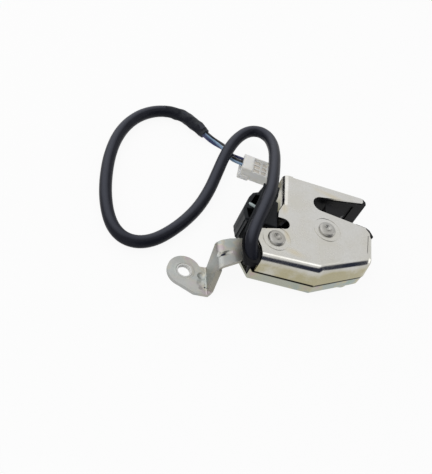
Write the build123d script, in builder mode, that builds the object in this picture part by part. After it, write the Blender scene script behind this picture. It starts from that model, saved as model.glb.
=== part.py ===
"""Door latch actuator: fork latch with a release lever, a switch and its lead.

Millimetres. The origin is the striker's axis when latched, on the plane of the three fixing pads.
+X runs along the slot to its mouth, +Z runs along the rivets, from the pads to the front shell.
"""
import math
import os

from build123d import *

os.makedirs("parts", exist_ok=True)

# ---------------------------------------------------------------- driving dimensions
# Levels along Z
SHEET = 1.8            # steel sheet of both shells
FRONT_Z = 24.5         # outer face of the front shell
PAD_HEIGHT = 2.5       # the fixing pads stand out of the back plate by this much
FLANGE_DEPTH = 13.0    # the front shell's slanted flange, from the front face
FLANGE_GAP = 0.9       # the dark joint between the front and back flanges
FLOOR_THICK = 1.8      # floor of the plastic guide
MECH_Z = 16.3          # underside of the claw and the pawl
MECH_THICK = 4.0       # claw and pawl plates
LEVER_THICK = 2.4      # release lever
GAP = 0.3              # running gap between faces that slide past each other
PIN_CLEAR = 0.05       # radial clearance of a bore on its rivet

# Plan positions
CLAW_X = 3.0           # claw rivet
CLAW_Y = -19.3
PAWL_X = -27.9         # pawl rivet
PAWL_Y = -36.5

# Slot
SLOT_R = 5.6           # seat of the slot
SLOT_UP = 12.8         # upper edge of the slot rises by this angle, degrees
SLOT_DOWN = 6.3        # lower edge of the slot falls by this angle, degrees
SLOT_TIP_X = 26.3      # front tip of the upper jaw
SLOT_LIP_X = 22.2      # where the guide starts to lap round the lower jaw's edge
LINER = 1.5            # wall of the plastic slot liner
LINER_STEP = 0.5       # the liner's inner face stands this far inside the steel slot's edge

# Front shell outline
TOP_Y = 16.8
RIGHT_X = 32.9
BOTTOM_LEFT = (-35.4, -48.9)
SHELL_WAIST_X = -39.2   # left of this the cord passes the shell
BOTTOM_V = (-0.9, -46.2)
BOTTOM_RIGHT = (30.9, -31.3)
CHAMFER_TOP = (28.6, -9.4)
CHAMFER_BOTTOM_Y = -14.9
SKIRT_DROP = 5.9       # how far the slanted flange leans out at the middle
SKIRT_LEFT = 4.2       # and at its left end
SKIRT_RIGHT = 3.4      # and at its right end
BEND_R = 3.2           # outer bend radius of the front shell
BACK_BEND_R = 2.2      # outer bend radius of the back plate
CORNER_R = 6.0         # lower right corner in plan

# Ear for the side fixing
EAR_X = -25.0          # outer face of the ear
EAR_BOTTOM_Y = -9.0
EAR_TOP_Y = 15.5
EAR_LOW_Z = 8.6
EAR_CORNER_R = 8.0

# Fixing threads, M6 tapped in drawn collars
THREAD_R = 2.5
COLLAR_R = 4.0
COLLAR_LEN = 5.6
SIDE_COLLAR_LEN = 4.0
PAD_R = 7.3
PADS = [(20.0, -32.0), (-15.5, 8.2), (-14.6, -41.0)]
SIDE_THREAD_Y = 5.7
SIDE_THREAD_Z = 14.0

# Rivets
PIN_R = 4.0            # running diameter
NECK_R = 3.4           # riveted ends
HEAD_R = 5.2
HEAD_HEIGHT = 1.7
HEAD_EDGE = 0.5        # straight edge under the head's dome
HEAD_FLAT_R = 3.1      # flat ring on the head
GROOVE_R = 2.5         # groove inside the flat ring
CUP_R = 1.7            # and the cup in the middle
TAIL_HEIGHT = 1.9
TAIL_BEVEL = 1.2
RING_R = 8.6           # ring coined into the front shell round each rivet
RING_WIDE = 0.6
RING_DEEP = 0.25
CLAW_WASHER_R = 7.6
PAWL_WASHER_R = 6.6

# Claw and pawl
CLAW_R = 23.4          # tips of the claw's steel arms
CLAW_HUB_R = 10.0
CLAW_LOBE_R = 15.5     # rim that the pawl rides on
CLAW_TURN = 55.0       # from open to latched
CLAW_SHELL = 1.1       # plastic over the claw's arms
THROAT_R = 5.0         # striker seat in the claw
ARM_FRONT = 46.0       # the hook arm's angular reach from the throat's middle
ARM_REAR = 44.0
THROAT_LINING = 0.2    # plastic inside the throat's radius
CLAW_STEEL_BACK = 0.66 # the steel stands back from the throat's plastic by this much
COVER_START = 1.0      # the plastic starts this far outside the hub
LOBE_START = 146.0     # the lobe's faces, counted from the throat's middle
LOBE_END = 226.0
PAWL_HUB_R = 7.0
PAWL_TIP_ANGLE = 240.0
PAWL_TIP_LAP = 0.6     # the nose is drawn this far into the rim and then hollowed back
FINGER_X = -6.0        # left edge of the finger that presses the switch, from the pawl axis
FINGER_WIDE = 2.6
FINGER_Y = 7.0         # and its top

# Springs
WIRE = 1.2             # spring wire
SPRING_TURNS = 3
SPRING_GAP = 0.4       # between a coil and its boss
CLAW_LEG = 9.0
CLAW_LEG_TURNS = (250.0, 130.0)        # where each leg leaves its coil, degrees
LEVER_LEG = 8.0
LEVER_LEG_TURNS = (250.0, 60.0)

# Release lever
LEVER_DROP = 13.5      # from the upper level to the eye's level
LEVER_TOP_Z = 16.0
LEVER_HUB_R = 7.2
EYE_X = -72.8
EYE_Y = -58.2
EYE_R = 9.6
EYE_HOLE_R = 4.5
BUSH_WALL = 0.9
BUSH_RIM = 0.7         # the bush's flange
BUSH_RIM_THICK = 0.6
BUSH_PROUD = 0.1       # and its lower end stands out of the eye by this much
GUSSET_R = 3.6         # stiffening dents pressed into the lever's two bends
GUSSET_DEEP = 0.9
LEVER_BEND_R = 3.4     # outer bend radius

LEVER_BEND_X = -57.6   # middle of the first bend, on its upper face
LEVER_BEND_Y = -51.0
LEVER_BEND_TURN = 8.5  # the bends lie this far off the Y axis, degrees
LEVER_LEAN = 3.7       # how far the wall leans out from bend to bend
LEVER_V = (-8.8, 9.3, 1.1, 17.3)       # strip edges along the bends: at the top, then at the eye
LEVER_UPPER = [(-46.6, -36.4), (-52.4, -38.6)]
LEVER_LOWER = [(-44.6, -51.8), (-40.5, -44.8)]

# Switch housing
HOUSING_LEFT = [(-36.6, 3.6), (-39.7, -3.0), (-43.0, -4.8), (-45.1, -8.7), (-48.0, -18.4), (-46.7, -25.0)]
HOUSING_FRONT_Y = -26.3
HOUSING_BACK_Y = -7.0
HOUSING_NECK = (-33.0, -4.0)
HOUSING_TOP_Z = 22.4
HOUSING_WALL = 1.1
HOUSING_CORNER_R = 3.0
HOUSING_ROUND = 0.8    # rounding of its top edge
HOOK = [(-47.6, -21.5), (-45.3, -28.4), (-43.6, -25.8), (-45.0, -23.0)]
UPPER_WINDOW = [(-41.4, -5.8), (-37.4, -5.2), (-36.4, -13.2), (-44.6, -14.9)]
LOWER_WINDOW = [(-46.2, -18.0), (-38.4, -16.6), (-38.4, -22.0), (-44.6, -25.0)]
CHEEK = 1.5            # cheek beside the switch
CHEEK_LONG = 5.0
TERMINAL_RIB = 1.0     # ribs between the terminals

# Lead inside the housing
INNER_LEAD_D = 2.2
INNER_LEAD = [(-44.3, -13.9, 19.4), (-40.6, -13.9, 19.4), (-38.5, -15.4, 19.4)]

# Trough that carries the cord
TROUGH_CLEAR = 0.1
TROUGH_WALL = 1.3
TROUGH_POINTS = 8      # it follows the cord's route as far as this point
TROUGH_SPLIT_Y = -38.0 # the housing's trough ends here and the gland's begins
TROUGH_TOP_Y = 2.0
TROUGH_RIM = [
    (-70.0, 19.0), (-54.0, 21.1), (-47.0, 22.0), (-41.0, 23.4), (-35.0, 25.0), (-28.0, 25.6), (10.0, 25.6),
]

# Switch
SWITCH_W = 6.4         # along the plunger
SWITCH_L = 12.8
SWITCH_T = 5.8
SWITCH_Y = -27.0       # its plunger end
SWITCH_SIDE = 8.3      # the switch reaches this far left of its plunger
SWITCH_FIT = 0.05      # clearance round the switch
PLUNGER_W = 1.5
PLUNGER_H = 2.4
PLUNGER_FIT = 0.1
PLUNGER_WELL = 3.2     # depth of the plunger's hole
PLUNGER_LAP = 1.2      # and how far the plunger reaches into it
TERMINAL_PITCH = 4.0
TERMINAL_W = 2.6
TERMINAL_THICK = 0.5
TERMINAL_LONG = 4.5
TERMINAL_EYE = 0.6

# Cord
CORD_D = 7.4
WIRE_D = 1.7
GLAND_FOOT = (-35.9, -47.9)
GLAND_FOOT_SIZE = (4.2, 4.4)
GLAND_NECK = (-37.9, -48.3)
GLAND_NECK_SIZE = (4.6, 4.8)
GLAND_NECK_Z = 16.0
GLAND_LEVER_X = -40.2   # the lever passes left of this
GLAND_END_Y = -70.0
CORD_ROUTE = [
    (-38.9, -51.7, 16.9), (-40.8, -49.2, 21.1), (-43.0, -43.2, 25.2), (-41.7, -35.2, 26.9),
    (-39.6, -27.6, 27.2), (-36.9, -17.4, 27.3), (-33.5, -4.2, 26.9), (-31.8, 10.2, 25.0),
    (-30.5, 25.0, 22.0), (-29.8, 38.4, 18.8), (-30.6, 49.2, 15.8), (-32.8, 57.4, 13.2),
    (-37.8, 62.4, 11.2), (-44.4, 61.6, 9.9), (-50.2, 55.6, 9.2), (-55.0, 46.6, 8.4),
    (-59.0, 34.2, 7.2), (-62.0, 19.2, 5.9), (-65.2, 3.8, 4.6), (-70.0, -10.8, 3.7),
    (-76.8, -24.2, 3.7), (-84.8, -36.0, 3.7), (-93.0, -44.8, 3.7), (-101.4, -49.2, 3.7),
    (-109.6, -48.8, 3.7), (-116.2, -43.6, 3.7), (-121.0, -34.6, 3.7), (-124.8, -22.0, 3.7),
    (-127.2, -7.2, 3.7), (-128.2, 8.4, 3.7), (-127.2, 23.6, 3.7), (-123.8, 37.4, 3.7),
    (-117.8, 49.2, 3.7), (-109.6, 58.0, 3.7), (-100.0, 63.0, 3.7), (-90.4, 63.4, 3.7),
    (-81.8, 59.8, 3.7), (-74.6, 54.0, 3.7),
]
WIRE_ROUTE = [(-65.4, 50.4, 1.3), (-58.4, 46.6, 0.95), (-53.0, 41.0, 1.8)]
WIRE_FAN = (1.3, 2.1)  # each wire's run lies this far from its neighbour's
WIRE_STRAIGHT = 5.0    # straight run out of the sleeve
WIRE_GAP = 0.3         # between the wires in the sleeve's mouth
WIRE_ENTRY_Y = 2.2
WIRE_ENTRY_Z = 5.4
WIRE_PITCH = 2.6
WIRE_SEAT = 3.0
WIRE_SLACK = 0.15      # room round each wire in its hole

# Guide
GUIDE_INSET = 3.4      # the guide stands this far inside the shell's outline
GUIDE_LEFT = -33.0     # left edge of its floor
GUIDE_STEP_Y = -26.6   # top of the floor's left part
BOSS_R = 5.2           # bosses round the rivets
BACK_SLOT_GROW = 0.6   # the back plate's slot is wider on each side
RELIEF_DEEP = 0.8
RELIEF_LONG = 0.42     # share of the slot's straight side that it runs along
BUFFER_Z = 6.8
BUFFER_W = 5.0
BUFFER_H = 6.6
BUFFER_FACE = 0.7      # the buffer stands this far into the seat
BUFFER_FOOT = 1.6      # thickness of its foot behind the liner
BUFFER_SPREAD = 1.2    # and how far the foot spreads on each side
BUFFER_LAP = 0.5       # the foot laps into the liner
RAIL_Z = 18.4          # rail along the upper jaw's plastic
RAIL_H = 1.4
RAIL_OUT = 0.6
COLLAR_ROOM = 0.4      # room round the drawn collars
JAW_TIP = [(24.3, 16.4), (28.6, 16.4), (30.4, 14.4), (30.5, 10.4), (24.3, 8.6)]
LIP = [(28.7, -8.3), (31.0, -9.7), (33.1, -13.6), (33.1, -14.2)]
LIP_TOP_Z = 24.3
LIP_INNER_X = 28.8     # the lip hangs on the guide's wall here
LIP_UPPER_Y = -6.6
JAW_ROOT_X = 18.0      # both jaws of the guide start here
JAW_TOP_Y = 14.5

# Connector
CONN_X = -46.4
CONN_Y = 33.8
CONN_TURN = -5.0       # it lies this far off the X axis, degrees
CONN_LEN = 22.0
CONN_W = 13.0
CONN_H = 9.0
CONN_WALL = 1.1
CONN_STEP = 1.2        # the tray lies this far below the wire end's block
CONN_BLOCK = 6.5       # length of the block
CONN_RAIL = 1.2        # rail along the far edge
CONN_LEDGE = 0.9       # ledge round the block's foot
CONN_LEDGE_H = 3.2
CONN_MOUTH = 5.5       # depth of the mating mouth
CHANNEL_START = 7.4    # open channels over the contacts
CHANNEL_LONG = 8.4
CHANNEL_W = 2.8
CHANNEL_DEEP = 3.6
CHANNEL_PITCH = 3.7
CHANNEL_BRIDGE = 1.2   # bridge across the channels
BRIDGE_AT = 0.55       # at this share of their length
REAR_CRIMP = 0.7       # the rear crimp is shorter than the front one by this factor
BLADE_LONG = 5.0
BLADE_W = 2.0
BLADE_THICK = 0.7
CRIMP_W = 1.8
CRIMP_H = 1.8

# ---------------------------------------------------------------- values that follow
FRONT_IN_Z = FRONT_Z - SHEET
BACK_Z = PAD_HEIGHT
BACK_IN_Z = BACK_Z + SHEET
SKIRT_Z = FRONT_Z - FLANGE_DEPTH
GUIDE_TOP_Z = BACK_IN_Z + FLOOR_THICK
LEVER_Z = LEVER_TOP_Z - LEVER_THICK
EYE_TOP_Z = LEVER_TOP_Z - LEVER_DROP
MECH_TOP_Z = MECH_Z + MECH_THICK
CLAW = (CLAW_X, CLAW_Y)
PAWL = (PAWL_X, PAWL_Y)
THROAT_ANGLE = math.degrees(math.atan2(-CLAW_Y, -CLAW_X))
THROAT_DIST = math.hypot(CLAW_X, CLAW_Y)
CLAW_WINDOW_Z = MECH_Z - CLAW_SHELL - 0.6
CLAW_WINDOW_H = MECH_THICK + 2 * CLAW_SHELL + 1.2
RELIEF_Z = GUIDE_TOP_Z
RELIEF_TOP_Z = CLAW_WINDOW_Z + CLAW_WINDOW_H - 2.0
SWITCH_X = PAWL_X + FINGER_X + FINGER_WIDE / 2
SWITCH_Z = MECH_Z + MECH_THICK / 2


def polar(centre, radius, degrees):
    """Point at a radius and an angle about a centre."""
    turn = math.radians(degrees)
    return (centre[0] + radius * math.cos(turn), centre[1] + radius * math.sin(turn))


def slot_points(grow):
    """Corners of the slot beyond its seat, each side moved outwards by grow."""
    up = math.radians(SLOT_UP)
    down = math.radians(SLOT_DOWN)
    radius = SLOT_R + grow
    far = 60.0
    upper = (-radius * math.sin(up), radius * math.cos(up))
    lower = (-radius * math.sin(down), -radius * math.cos(down))
    upper_far = (upper[0] + far * math.cos(up), upper[1] + far * math.sin(up))
    lower_far = (lower[0] + far * math.cos(down), lower[1] - far * math.sin(down))
    return upper, upper_far, lower_far, lower


def slot_face(height, grow):
    """Sketch of the slot on the plane at a height, its sides moved outwards by grow."""
    with BuildSketch(Plane.XY.offset(height)) as face:
        with BuildLine():
            Polyline(*slot_points(grow), close=True)
        make_face()
        Circle(SLOT_R + grow)
    return face.sketch


def pie(centre, radius, start, stop, height):
    """Sketch of a circular sector between two angles."""
    middle = (start + stop) / 2
    with BuildSketch(Plane.XY.offset(height)) as face:
        with BuildLine():
            first = Line(centre, polar(centre, radius, start))
            arc = ThreePointArc(first @ 1, polar(centre, radius, middle), polar(centre, radius, stop))
            Line(arc @ 1, centre)
        make_face()
    return face.sketch


def save(part, name):
    """Label one finished piece and write its STEP file."""
    part.label = name
    export_step(part, f"parts/{name}.step")


# ---------------------------------------------------------------- front shell
def shell_corners(drop, left, right, inset, left_x):
    """Outline of the front shell: bottom corners leant out by drop, every wall moved in by inset."""
    slope = math.atan2(BOTTOM_RIGHT[1] - BOTTOM_V[1], BOTTOM_RIGHT[0] - BOTTOM_V[0])
    v_lean = (0.25 * drop, -drop)
    rise = inset / math.cos(slope)
    lean_x = right * 0.6
    return [
        (left_x, BOTTOM_LEFT[1] - left + inset),
        (BOTTOM_V[0] + v_lean[0] - 0.2 * inset, BOTTOM_V[1] + v_lean[1] + inset),
        (BOTTOM_RIGHT[0] + lean_x - inset, BOTTOM_RIGHT[1] - right + rise),
        (RIGHT_X + lean_x * 0.3 - inset, CHAMFER_BOTTOM_Y),
        (CHAMFER_TOP[0] - inset * 0.7, CHAMFER_TOP[1] - inset * 0.7),
        (SLOT_TIP_X + 1.2 - inset, TOP_Y - 2.1),
        (SLOT_TIP_X - 1.0 - inset * 0.4, TOP_Y - inset),
        (left_x, TOP_Y - inset),
    ]


def shell_face(height, corners):
    """Sketch of one shell outline with its lower right corner rounded."""
    with BuildSketch(Plane.XY.offset(height)) as face:
        with BuildLine():
            Polyline(*corners, close=True)
        make_face()
        fillet(face.vertices().sort_by_distance(corners[2])[0], CORNER_R)
    return face.sketch


upper_edge = shell_corners(0, 0, 0, 0, BOTTOM_LEFT[0] - 5)
lower_edge = shell_corners(SKIRT_DROP, SKIRT_LEFT, SKIRT_RIGHT, 0, BOTTOM_LEFT[0] - 5)
upper_inner = shell_corners(0, 0, 0, SHEET, BOTTOM_LEFT[0] - 9)
lower_inner = shell_corners(SKIRT_DROP, SKIRT_LEFT, SKIRT_RIGHT, SHEET, BOTTOM_LEFT[0] - 9)

with BuildPart() as shell_core:
    add(shell_face(FRONT_IN_Z, upper_inner))
    add(shell_face(SKIRT_Z, lower_inner))
    loft(ruled=True)

with BuildPart() as front_shell:
    add(shell_face(FRONT_Z, upper_edge))
    add(shell_face(SKIRT_Z, lower_edge))
    loft(ruled=True)
    rim = front_shell.edges().filter_by_position(Axis.Z, FRONT_Z - 0.01, FRONT_Z + 0.01)
    rim = rim.filter_by(lambda edge: edge.center().X > BOTTOM_LEFT[0] - 4)
    rim = rim.filter_by(lambda edge: not (26 < edge.center().X and edge.center().Y > CHAMFER_BOTTOM_Y + 1))
    fillet(rim, BEND_R)
    add(shell_core.part, mode=Mode.SUBTRACT)
    # the ear folds down from the left edge
    with BuildSketch(Plane.XZ.offset(-EAR_TOP_Y)) as ear_fold:
        with BuildLine():
            Polyline(
                (EAR_X + 6, FRONT_Z), (EAR_X, FRONT_Z), (EAR_X, EAR_LOW_Z), (EAR_X + SHEET, EAR_LOW_Z),
                (EAR_X + SHEET, FRONT_IN_Z), (EAR_X + 6, FRONT_IN_Z), close=True,
            )
        make_face()
        fillet(ear_fold.vertices().sort_by_distance((EAR_X, FRONT_Z))[0], BEND_R)
    left_side = EAR_X + BEND_R
    with BuildSketch(Plane.XY.offset(FRONT_Z)):
        # everything left of the ear's fold, and the waist at the lower left
        with BuildLine():
            Polyline(
                (left_side, TOP_Y + 1), (left_side, EAR_BOTTOM_Y), (EAR_X + 0.4, EAR_BOTTOM_Y - 0.4),
                (-27.2, -15.4), (-27.4, -20.2), (-24.0, -20.2), (-24.3, -28.0), (-36.9, -32.1),
                (-38.8, -40.1), (-36.2, -45.7), BOTTOM_LEFT,
                (BOTTOM_LEFT[0] - 0.3, -60), (-60, -60), (-60, TOP_Y + 1), close=True,
            )
        make_face()
        with Locations((-24.15, -24.1)):
            Circle(3.9)
    extrude(amount=-FLANGE_DEPTH - 1, mode=Mode.SUBTRACT)
    # the slot, and the bare chamfer where the plastic guide shows
    add(slot_face(FRONT_Z, 0))
    extrude(amount=-FLANGE_DEPTH - 1, mode=Mode.SUBTRACT)
    with BuildSketch(Plane.XY.offset(FRONT_IN_Z)):
        with BuildLine():
            Polyline((20, -14.5), (40, -14.5), (40, 20), (24.0, 20), (24.0, 0), (20, 0), close=True)
        make_face()
    extrude(amount=-FLANGE_DEPTH, mode=Mode.SUBTRACT)
    extrude(ear_fold.sketch, amount=EAR_TOP_Y - EAR_BOTTOM_Y)
    ear_corners = front_shell.edges().filter_by(Axis.X).filter_by(
        lambda edge: abs(edge.center().Z - EAR_LOW_Z) < 0.1 and edge.center().X < EAR_X + 3
    )
    fillet(ear_corners.sort_by(Axis.Y)[0], EAR_CORNER_R)
    fillet(front_shell.edges().filter_by(Axis.X).filter_by(
        lambda edge: abs(edge.center().Z - EAR_LOW_Z) < 0.1 and edge.center().X < EAR_X + 3
    ).sort_by(Axis.Y)[-1], 5.0)
    # tapped collar of the side fixing
    with BuildSketch(Plane.YZ.offset(EAR_X)):
        with Locations((SIDE_THREAD_Y, SIDE_THREAD_Z)):
            Circle(COLLAR_R)
    extrude(amount=SIDE_COLLAR_LEN)
    with BuildSketch(Plane.YZ.offset(EAR_X - 1)):
        with Locations((SIDE_THREAD_Y, SIDE_THREAD_Z)):
            Circle(THREAD_R)
    extrude(amount=SIDE_COLLAR_LEN + 2, mode=Mode.SUBTRACT)
    # coined rings round the rivets, and the rivets' holes
    with BuildSketch(Plane.XY.offset(FRONT_Z)):
        with Locations(CLAW, PAWL):
            Circle(RING_R)
            Circle(RING_R - RING_WIDE, mode=Mode.SUBTRACT)
    extrude(amount=-RING_DEEP, mode=Mode.SUBTRACT)
    with BuildSketch(Plane.XY.offset(FRONT_Z)):
        with Locations(CLAW, PAWL):
            Circle(NECK_R)
    extrude(amount=-SHEET, mode=Mode.SUBTRACT)
save(front_shell.part, "front_shell")

# ---------------------------------------------------------------- back plate
BACK_INSET = 0.2
back_edge = shell_corners(SKIRT_DROP, SKIRT_LEFT, SKIRT_RIGHT, BACK_INSET, 0)[1:7]
back_inner = shell_corners(SKIRT_DROP, SKIRT_LEFT, SKIRT_RIGHT, BACK_INSET + SHEET, 0)[1:7]
BACK_LEFT = [(-26.0, TOP_Y - BACK_INSET), (-34.0, 2.0), (-42.0, -14.0), (-42.0, -43.3), (-36.2, -52.9)]

with BuildPart() as back_hollow:
    with BuildSketch(Plane.XY.offset(BACK_IN_Z)) as hollow_face:
        with BuildLine():
            Polyline(*back_inner, (-50.0, TOP_Y - 2.0), (-50.0, BACK_LEFT[-1][1] + SHEET), close=True)
        make_face()
        fillet(hollow_face.vertices().sort_by_distance(back_inner[1])[0], CORNER_R - SHEET)
    extrude(amount=FRONT_Z)

with BuildPart() as back_plate:
    with BuildSketch(Plane.XY.offset(BACK_Z)) as back_face:
        with BuildLine():
            Polyline(*back_edge, *BACK_LEFT, close=True)
        make_face()
        fillet(back_face.vertices().sort_by_distance(back_edge[1])[0], CORNER_R)
    extrude(amount=SKIRT_Z - FLANGE_GAP - BACK_Z)
    foot = back_plate.edges().filter_by_position(Axis.Z, BACK_Z - 0.01, BACK_Z + 0.01)
    foot = foot.filter_by(lambda edge: edge.center().Y < CHAMFER_BOTTOM_Y and edge.center().X > -37)
    fillet(foot.filter_by(lambda edge: edge.center().X > -30), BACK_BEND_R)
    add(back_hollow.part, mode=Mode.SUBTRACT)
    # the slot runs through, and its mouth has no flange
    add(slot_face(BACK_Z, BACK_SLOT_GROW))
    extrude(amount=FRONT_Z, mode=Mode.SUBTRACT)
    with BuildSketch(Plane.XY.offset(BACK_IN_Z)):
        with BuildLine():
            Polyline((20, -14.5), (40, -14.5), (40, 20), (24.0, 20), (24.0, 0), (20, 0), close=True)
        make_face()
    extrude(amount=FRONT_Z, mode=Mode.SUBTRACT)
    # fixing pads pressed out of the sheet, each with a tapped collar drawn inwards
    with BuildSketch(Plane.XY):
        with Locations(*PADS):
            Circle(PAD_R)
    extrude(amount=BACK_IN_Z)
    with BuildSketch(Plane.XY.offset(SHEET)):
        with Locations(*PADS):
            Circle(PAD_R - SHEET)
            Circle(COLLAR_R, mode=Mode.SUBTRACT)
    extrude(amount=FRONT_Z, mode=Mode.SUBTRACT)
    with BuildSketch(Plane.XY):
        with Locations(*PADS):
            Circle(COLLAR_R)
    extrude(amount=COLLAR_LEN)
    pad_rims = back_plate.edges().filter_by(GeomType.CIRCLE).filter_by_position(Axis.Z, -0.01, 0.01)
    fillet(pad_rims.filter_by(lambda edge: abs(edge.radius - PAD_R) < 0.1), 1.2)
    with BuildSketch(Plane.XY):
        with Locations(*PADS):
            Circle(THREAD_R)
    extrude(amount=COLLAR_LEN, mode=Mode.SUBTRACT)
    with BuildSketch(Plane.XY.offset(BACK_Z)):
        with Locations(CLAW, PAWL):
            Circle(NECK_R)
    extrude(amount=SHEET, mode=Mode.SUBTRACT)
save(back_plate.part, "back_plate")

# ---------------------------------------------------------------- plastic guide between the plates
def guide_face(height, inset):
    """Plan of the guide, every outer wall moved in by inset."""
    corners = shell_corners(0, 0, 0, GUIDE_INSET + inset, GUIDE_LEFT)
    with BuildSketch(Plane.XY.offset(height)) as face:
        with BuildLine():
            Polyline(
                (GUIDE_LEFT, corners[0][1]), *corners[1:4],
                (24.0 - inset, -9.0), (24.0 - inset, corners[7][1]),
                (-20.4 + inset, corners[7][1]), (-20.4 + inset, -16.0), (-26.0 + inset, -24.0),
                (-26.0 + inset, GUIDE_STEP_Y),
                (GUIDE_LEFT, GUIDE_STEP_Y), close=True,
            )
        make_face()
        with BuildLine():
            Polyline(
                (JAW_ROOT_X, -18), (LIP_INNER_X - inset, -18), (LIP_INNER_X - inset, LIP[-1][1] + inset),
                (LIP[-1][0] - inset, LIP[-1][1] + inset), (LIP[1][0] - inset, LIP[1][1] - inset),
                (LIP[0][0] - inset, LIP[0][1]), (JAW_ROOT_X, LIP_UPPER_Y), close=True,
            )
        make_face()
        with BuildLine():
            Polyline(
                (JAW_ROOT_X, JAW_TIP[4][1] - 1.5), (JAW_TIP[3][0] - inset, JAW_TIP[3][1]),
                (JAW_TIP[2][0] - inset, JAW_TIP[2][1]), (JAW_TIP[1][0] - inset, JAW_TIP[1][1] - inset),
                (JAW_TIP[0][0], JAW_TIP[0][1] - inset), (JAW_TIP[0][0], JAW_TOP_Y - inset),
                (JAW_ROOT_X, JAW_TOP_Y - inset), close=True,
            )
        make_face()
    return face.sketch


with BuildPart() as guide_housing:
    add(guide_face(BACK_IN_Z, 0))
    extrude(amount=FRONT_IN_Z - BACK_IN_Z)
    # the space for the mechanism; the liner of the slot stays as a wall
    with BuildSketch(Plane.XY.offset(GUIDE_TOP_Z)):
        add(guide_face(GUIDE_TOP_Z, LINER))
        with BuildLine():
            Polyline(
                (GUIDE_LEFT - 3, -60), (GUIDE_LEFT + 10, -60), (GUIDE_LEFT + 10, GUIDE_STEP_Y - 10),
                (-26.0 + LINER, GUIDE_STEP_Y - 0.6), (-26.0 + LINER, GUIDE_STEP_Y + 2),
                (GUIDE_LEFT - 3, GUIDE_STEP_Y + 2), close=True,
            )
        make_face()
        add(slot_face(GUIDE_TOP_Z, LINER - LINER_STEP), mode=Mode.SUBTRACT)
    extrude(amount=FRONT_Z, mode=Mode.SUBTRACT)
    # a lip laps round the lower jaw's edge and its chamfer
    with BuildSketch(Plane.XY.offset(FRONT_IN_Z)):
        with BuildLine():
            Polyline(
                (SLOT_LIP_X, -6.0), (LIP[0][0], -6.0), *LIP, (RIGHT_X - 2, LIP[-1][1]), (SLOT_LIP_X, -10.0),
                close=True,
            )
        make_face()
    extrude(amount=LIP_TOP_Z - FRONT_IN_Z)
    add(front_shell.part, mode=Mode.SUBTRACT)
    # rail along the upper jaw
    rail_start, rail_far, _, _ = slot_points(-LINER_STEP)
    along = ((rail_far[0] - rail_start[0]) / 60.0, (rail_far[1] - rail_start[1]) / 60.0)
    with BuildSketch(Plane.XY.offset(RAIL_Z)):
        with BuildLine():
            Polyline(
                (rail_start[0] + along[0] * 2, rail_start[1] + along[1] * 2 + RAIL_OUT),
                (rail_start[0] + along[0] * 24, rail_start[1] + along[1] * 24 + RAIL_OUT),
                (rail_start[0] + along[0] * 23, rail_start[1] + along[1] * 23 - RAIL_OUT),
                (rail_start[0] + along[0] * 3, rail_start[1] + along[1] * 3 - RAIL_OUT), close=True,
            )
        make_face()
    rail_face = extrude(amount=RAIL_H, mode=Mode.PRIVATE)
    # the slot itself
    add(slot_face(BACK_IN_Z, -LINER_STEP))
    extrude(amount=FRONT_Z, mode=Mode.SUBTRACT)
    add(rail_face)
    # window that the claw swings through, and the relief that carries it on along the upper jaw
    with BuildSketch(Plane.XY.offset(CLAW_WINDOW_Z)):
        add(pie(CLAW, CLAW_R + CLAW_SHELL + 0.6, -18, 162, CLAW_WINDOW_Z))
    extrude(amount=CLAW_WINDOW_H, mode=Mode.SUBTRACT)
    with BuildSketch(Plane.XY.offset(RELIEF_Z)) as relief:
        with BuildLine():
            upper, upper_far, _, _ = slot_points(RELIEF_DEEP - LINER_STEP)
            lean = (upper_far[0] - upper[0], upper_far[1] - upper[1])
            Polyline(
                upper, (upper[0] + lean[0] * RELIEF_LONG, upper[1] + lean[1] * RELIEF_LONG),
                (upper[0] + lean[0] * RELIEF_LONG, upper[1] + lean[1] * RELIEF_LONG - 3),
                (upper[0], upper[1] - 3), close=True,
            )
        make_face()
    extrude(amount=RELIEF_TOP_Z - RELIEF_Z, mode=Mode.SUBTRACT)
    # bosses round the rivets carry the claw, the lever and the springs
    for centre, top in ((CLAW, MECH_Z - GAP), (PAWL, LEVER_Z - GAP)):
        with BuildSketch(Plane.XY.offset(BACK_IN_Z)):
            with Locations(centre):
                Circle(BOSS_R)
        extrude(amount=top - BACK_IN_Z)
        with BuildSketch(Plane.XY.offset(BACK_IN_Z)):
            with Locations(centre):
                Circle(PIN_R + PIN_CLEAR)
        extrude(amount=FRONT_Z, mode=Mode.SUBTRACT)
    # holes round the collars of the fixing threads
    with BuildSketch(Plane.XY.offset(BACK_IN_Z)):
        with Locations(*PADS):
            Circle(COLLAR_R + COLLAR_ROOM)
    extrude(amount=GUIDE_TOP_Z - BACK_IN_Z, mode=Mode.SUBTRACT)
    # seat of the rubber buffer at the slot's closed end
    with BuildSketch(Plane.XY.offset(BUFFER_Z)):
        with Locations((-SLOT_R, 0)):
            Rectangle(6.0, BUFFER_W)
    extrude(amount=BUFFER_H, mode=Mode.SUBTRACT)
save(guide_housing.part, "guide_housing")

with BuildPart() as striker_buffer:
    foot_x = -SLOT_R - LINER - BUFFER_FOOT
    lap_x = -SLOT_R - LINER + BUFFER_LAP
    face_x = -SLOT_R + BUFFER_FACE
    with BuildSketch(Plane.XY.offset(BUFFER_Z)) as buffer_face:
        with BuildLine():
            Polyline(
                (foot_x, -BUFFER_W / 2 - BUFFER_SPREAD), (lap_x, -BUFFER_W / 2 - BUFFER_SPREAD),
                (lap_x, -BUFFER_W / 2), (face_x, -BUFFER_W / 2), (face_x, BUFFER_W / 2),
                (lap_x, BUFFER_W / 2), (lap_x, BUFFER_W / 2 + BUFFER_SPREAD),
                (foot_x, BUFFER_W / 2 + BUFFER_SPREAD), close=True,
            )
        make_face()
    extrude(amount=BUFFER_H)
save(striker_buffer.part, "striker_buffer")

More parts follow.
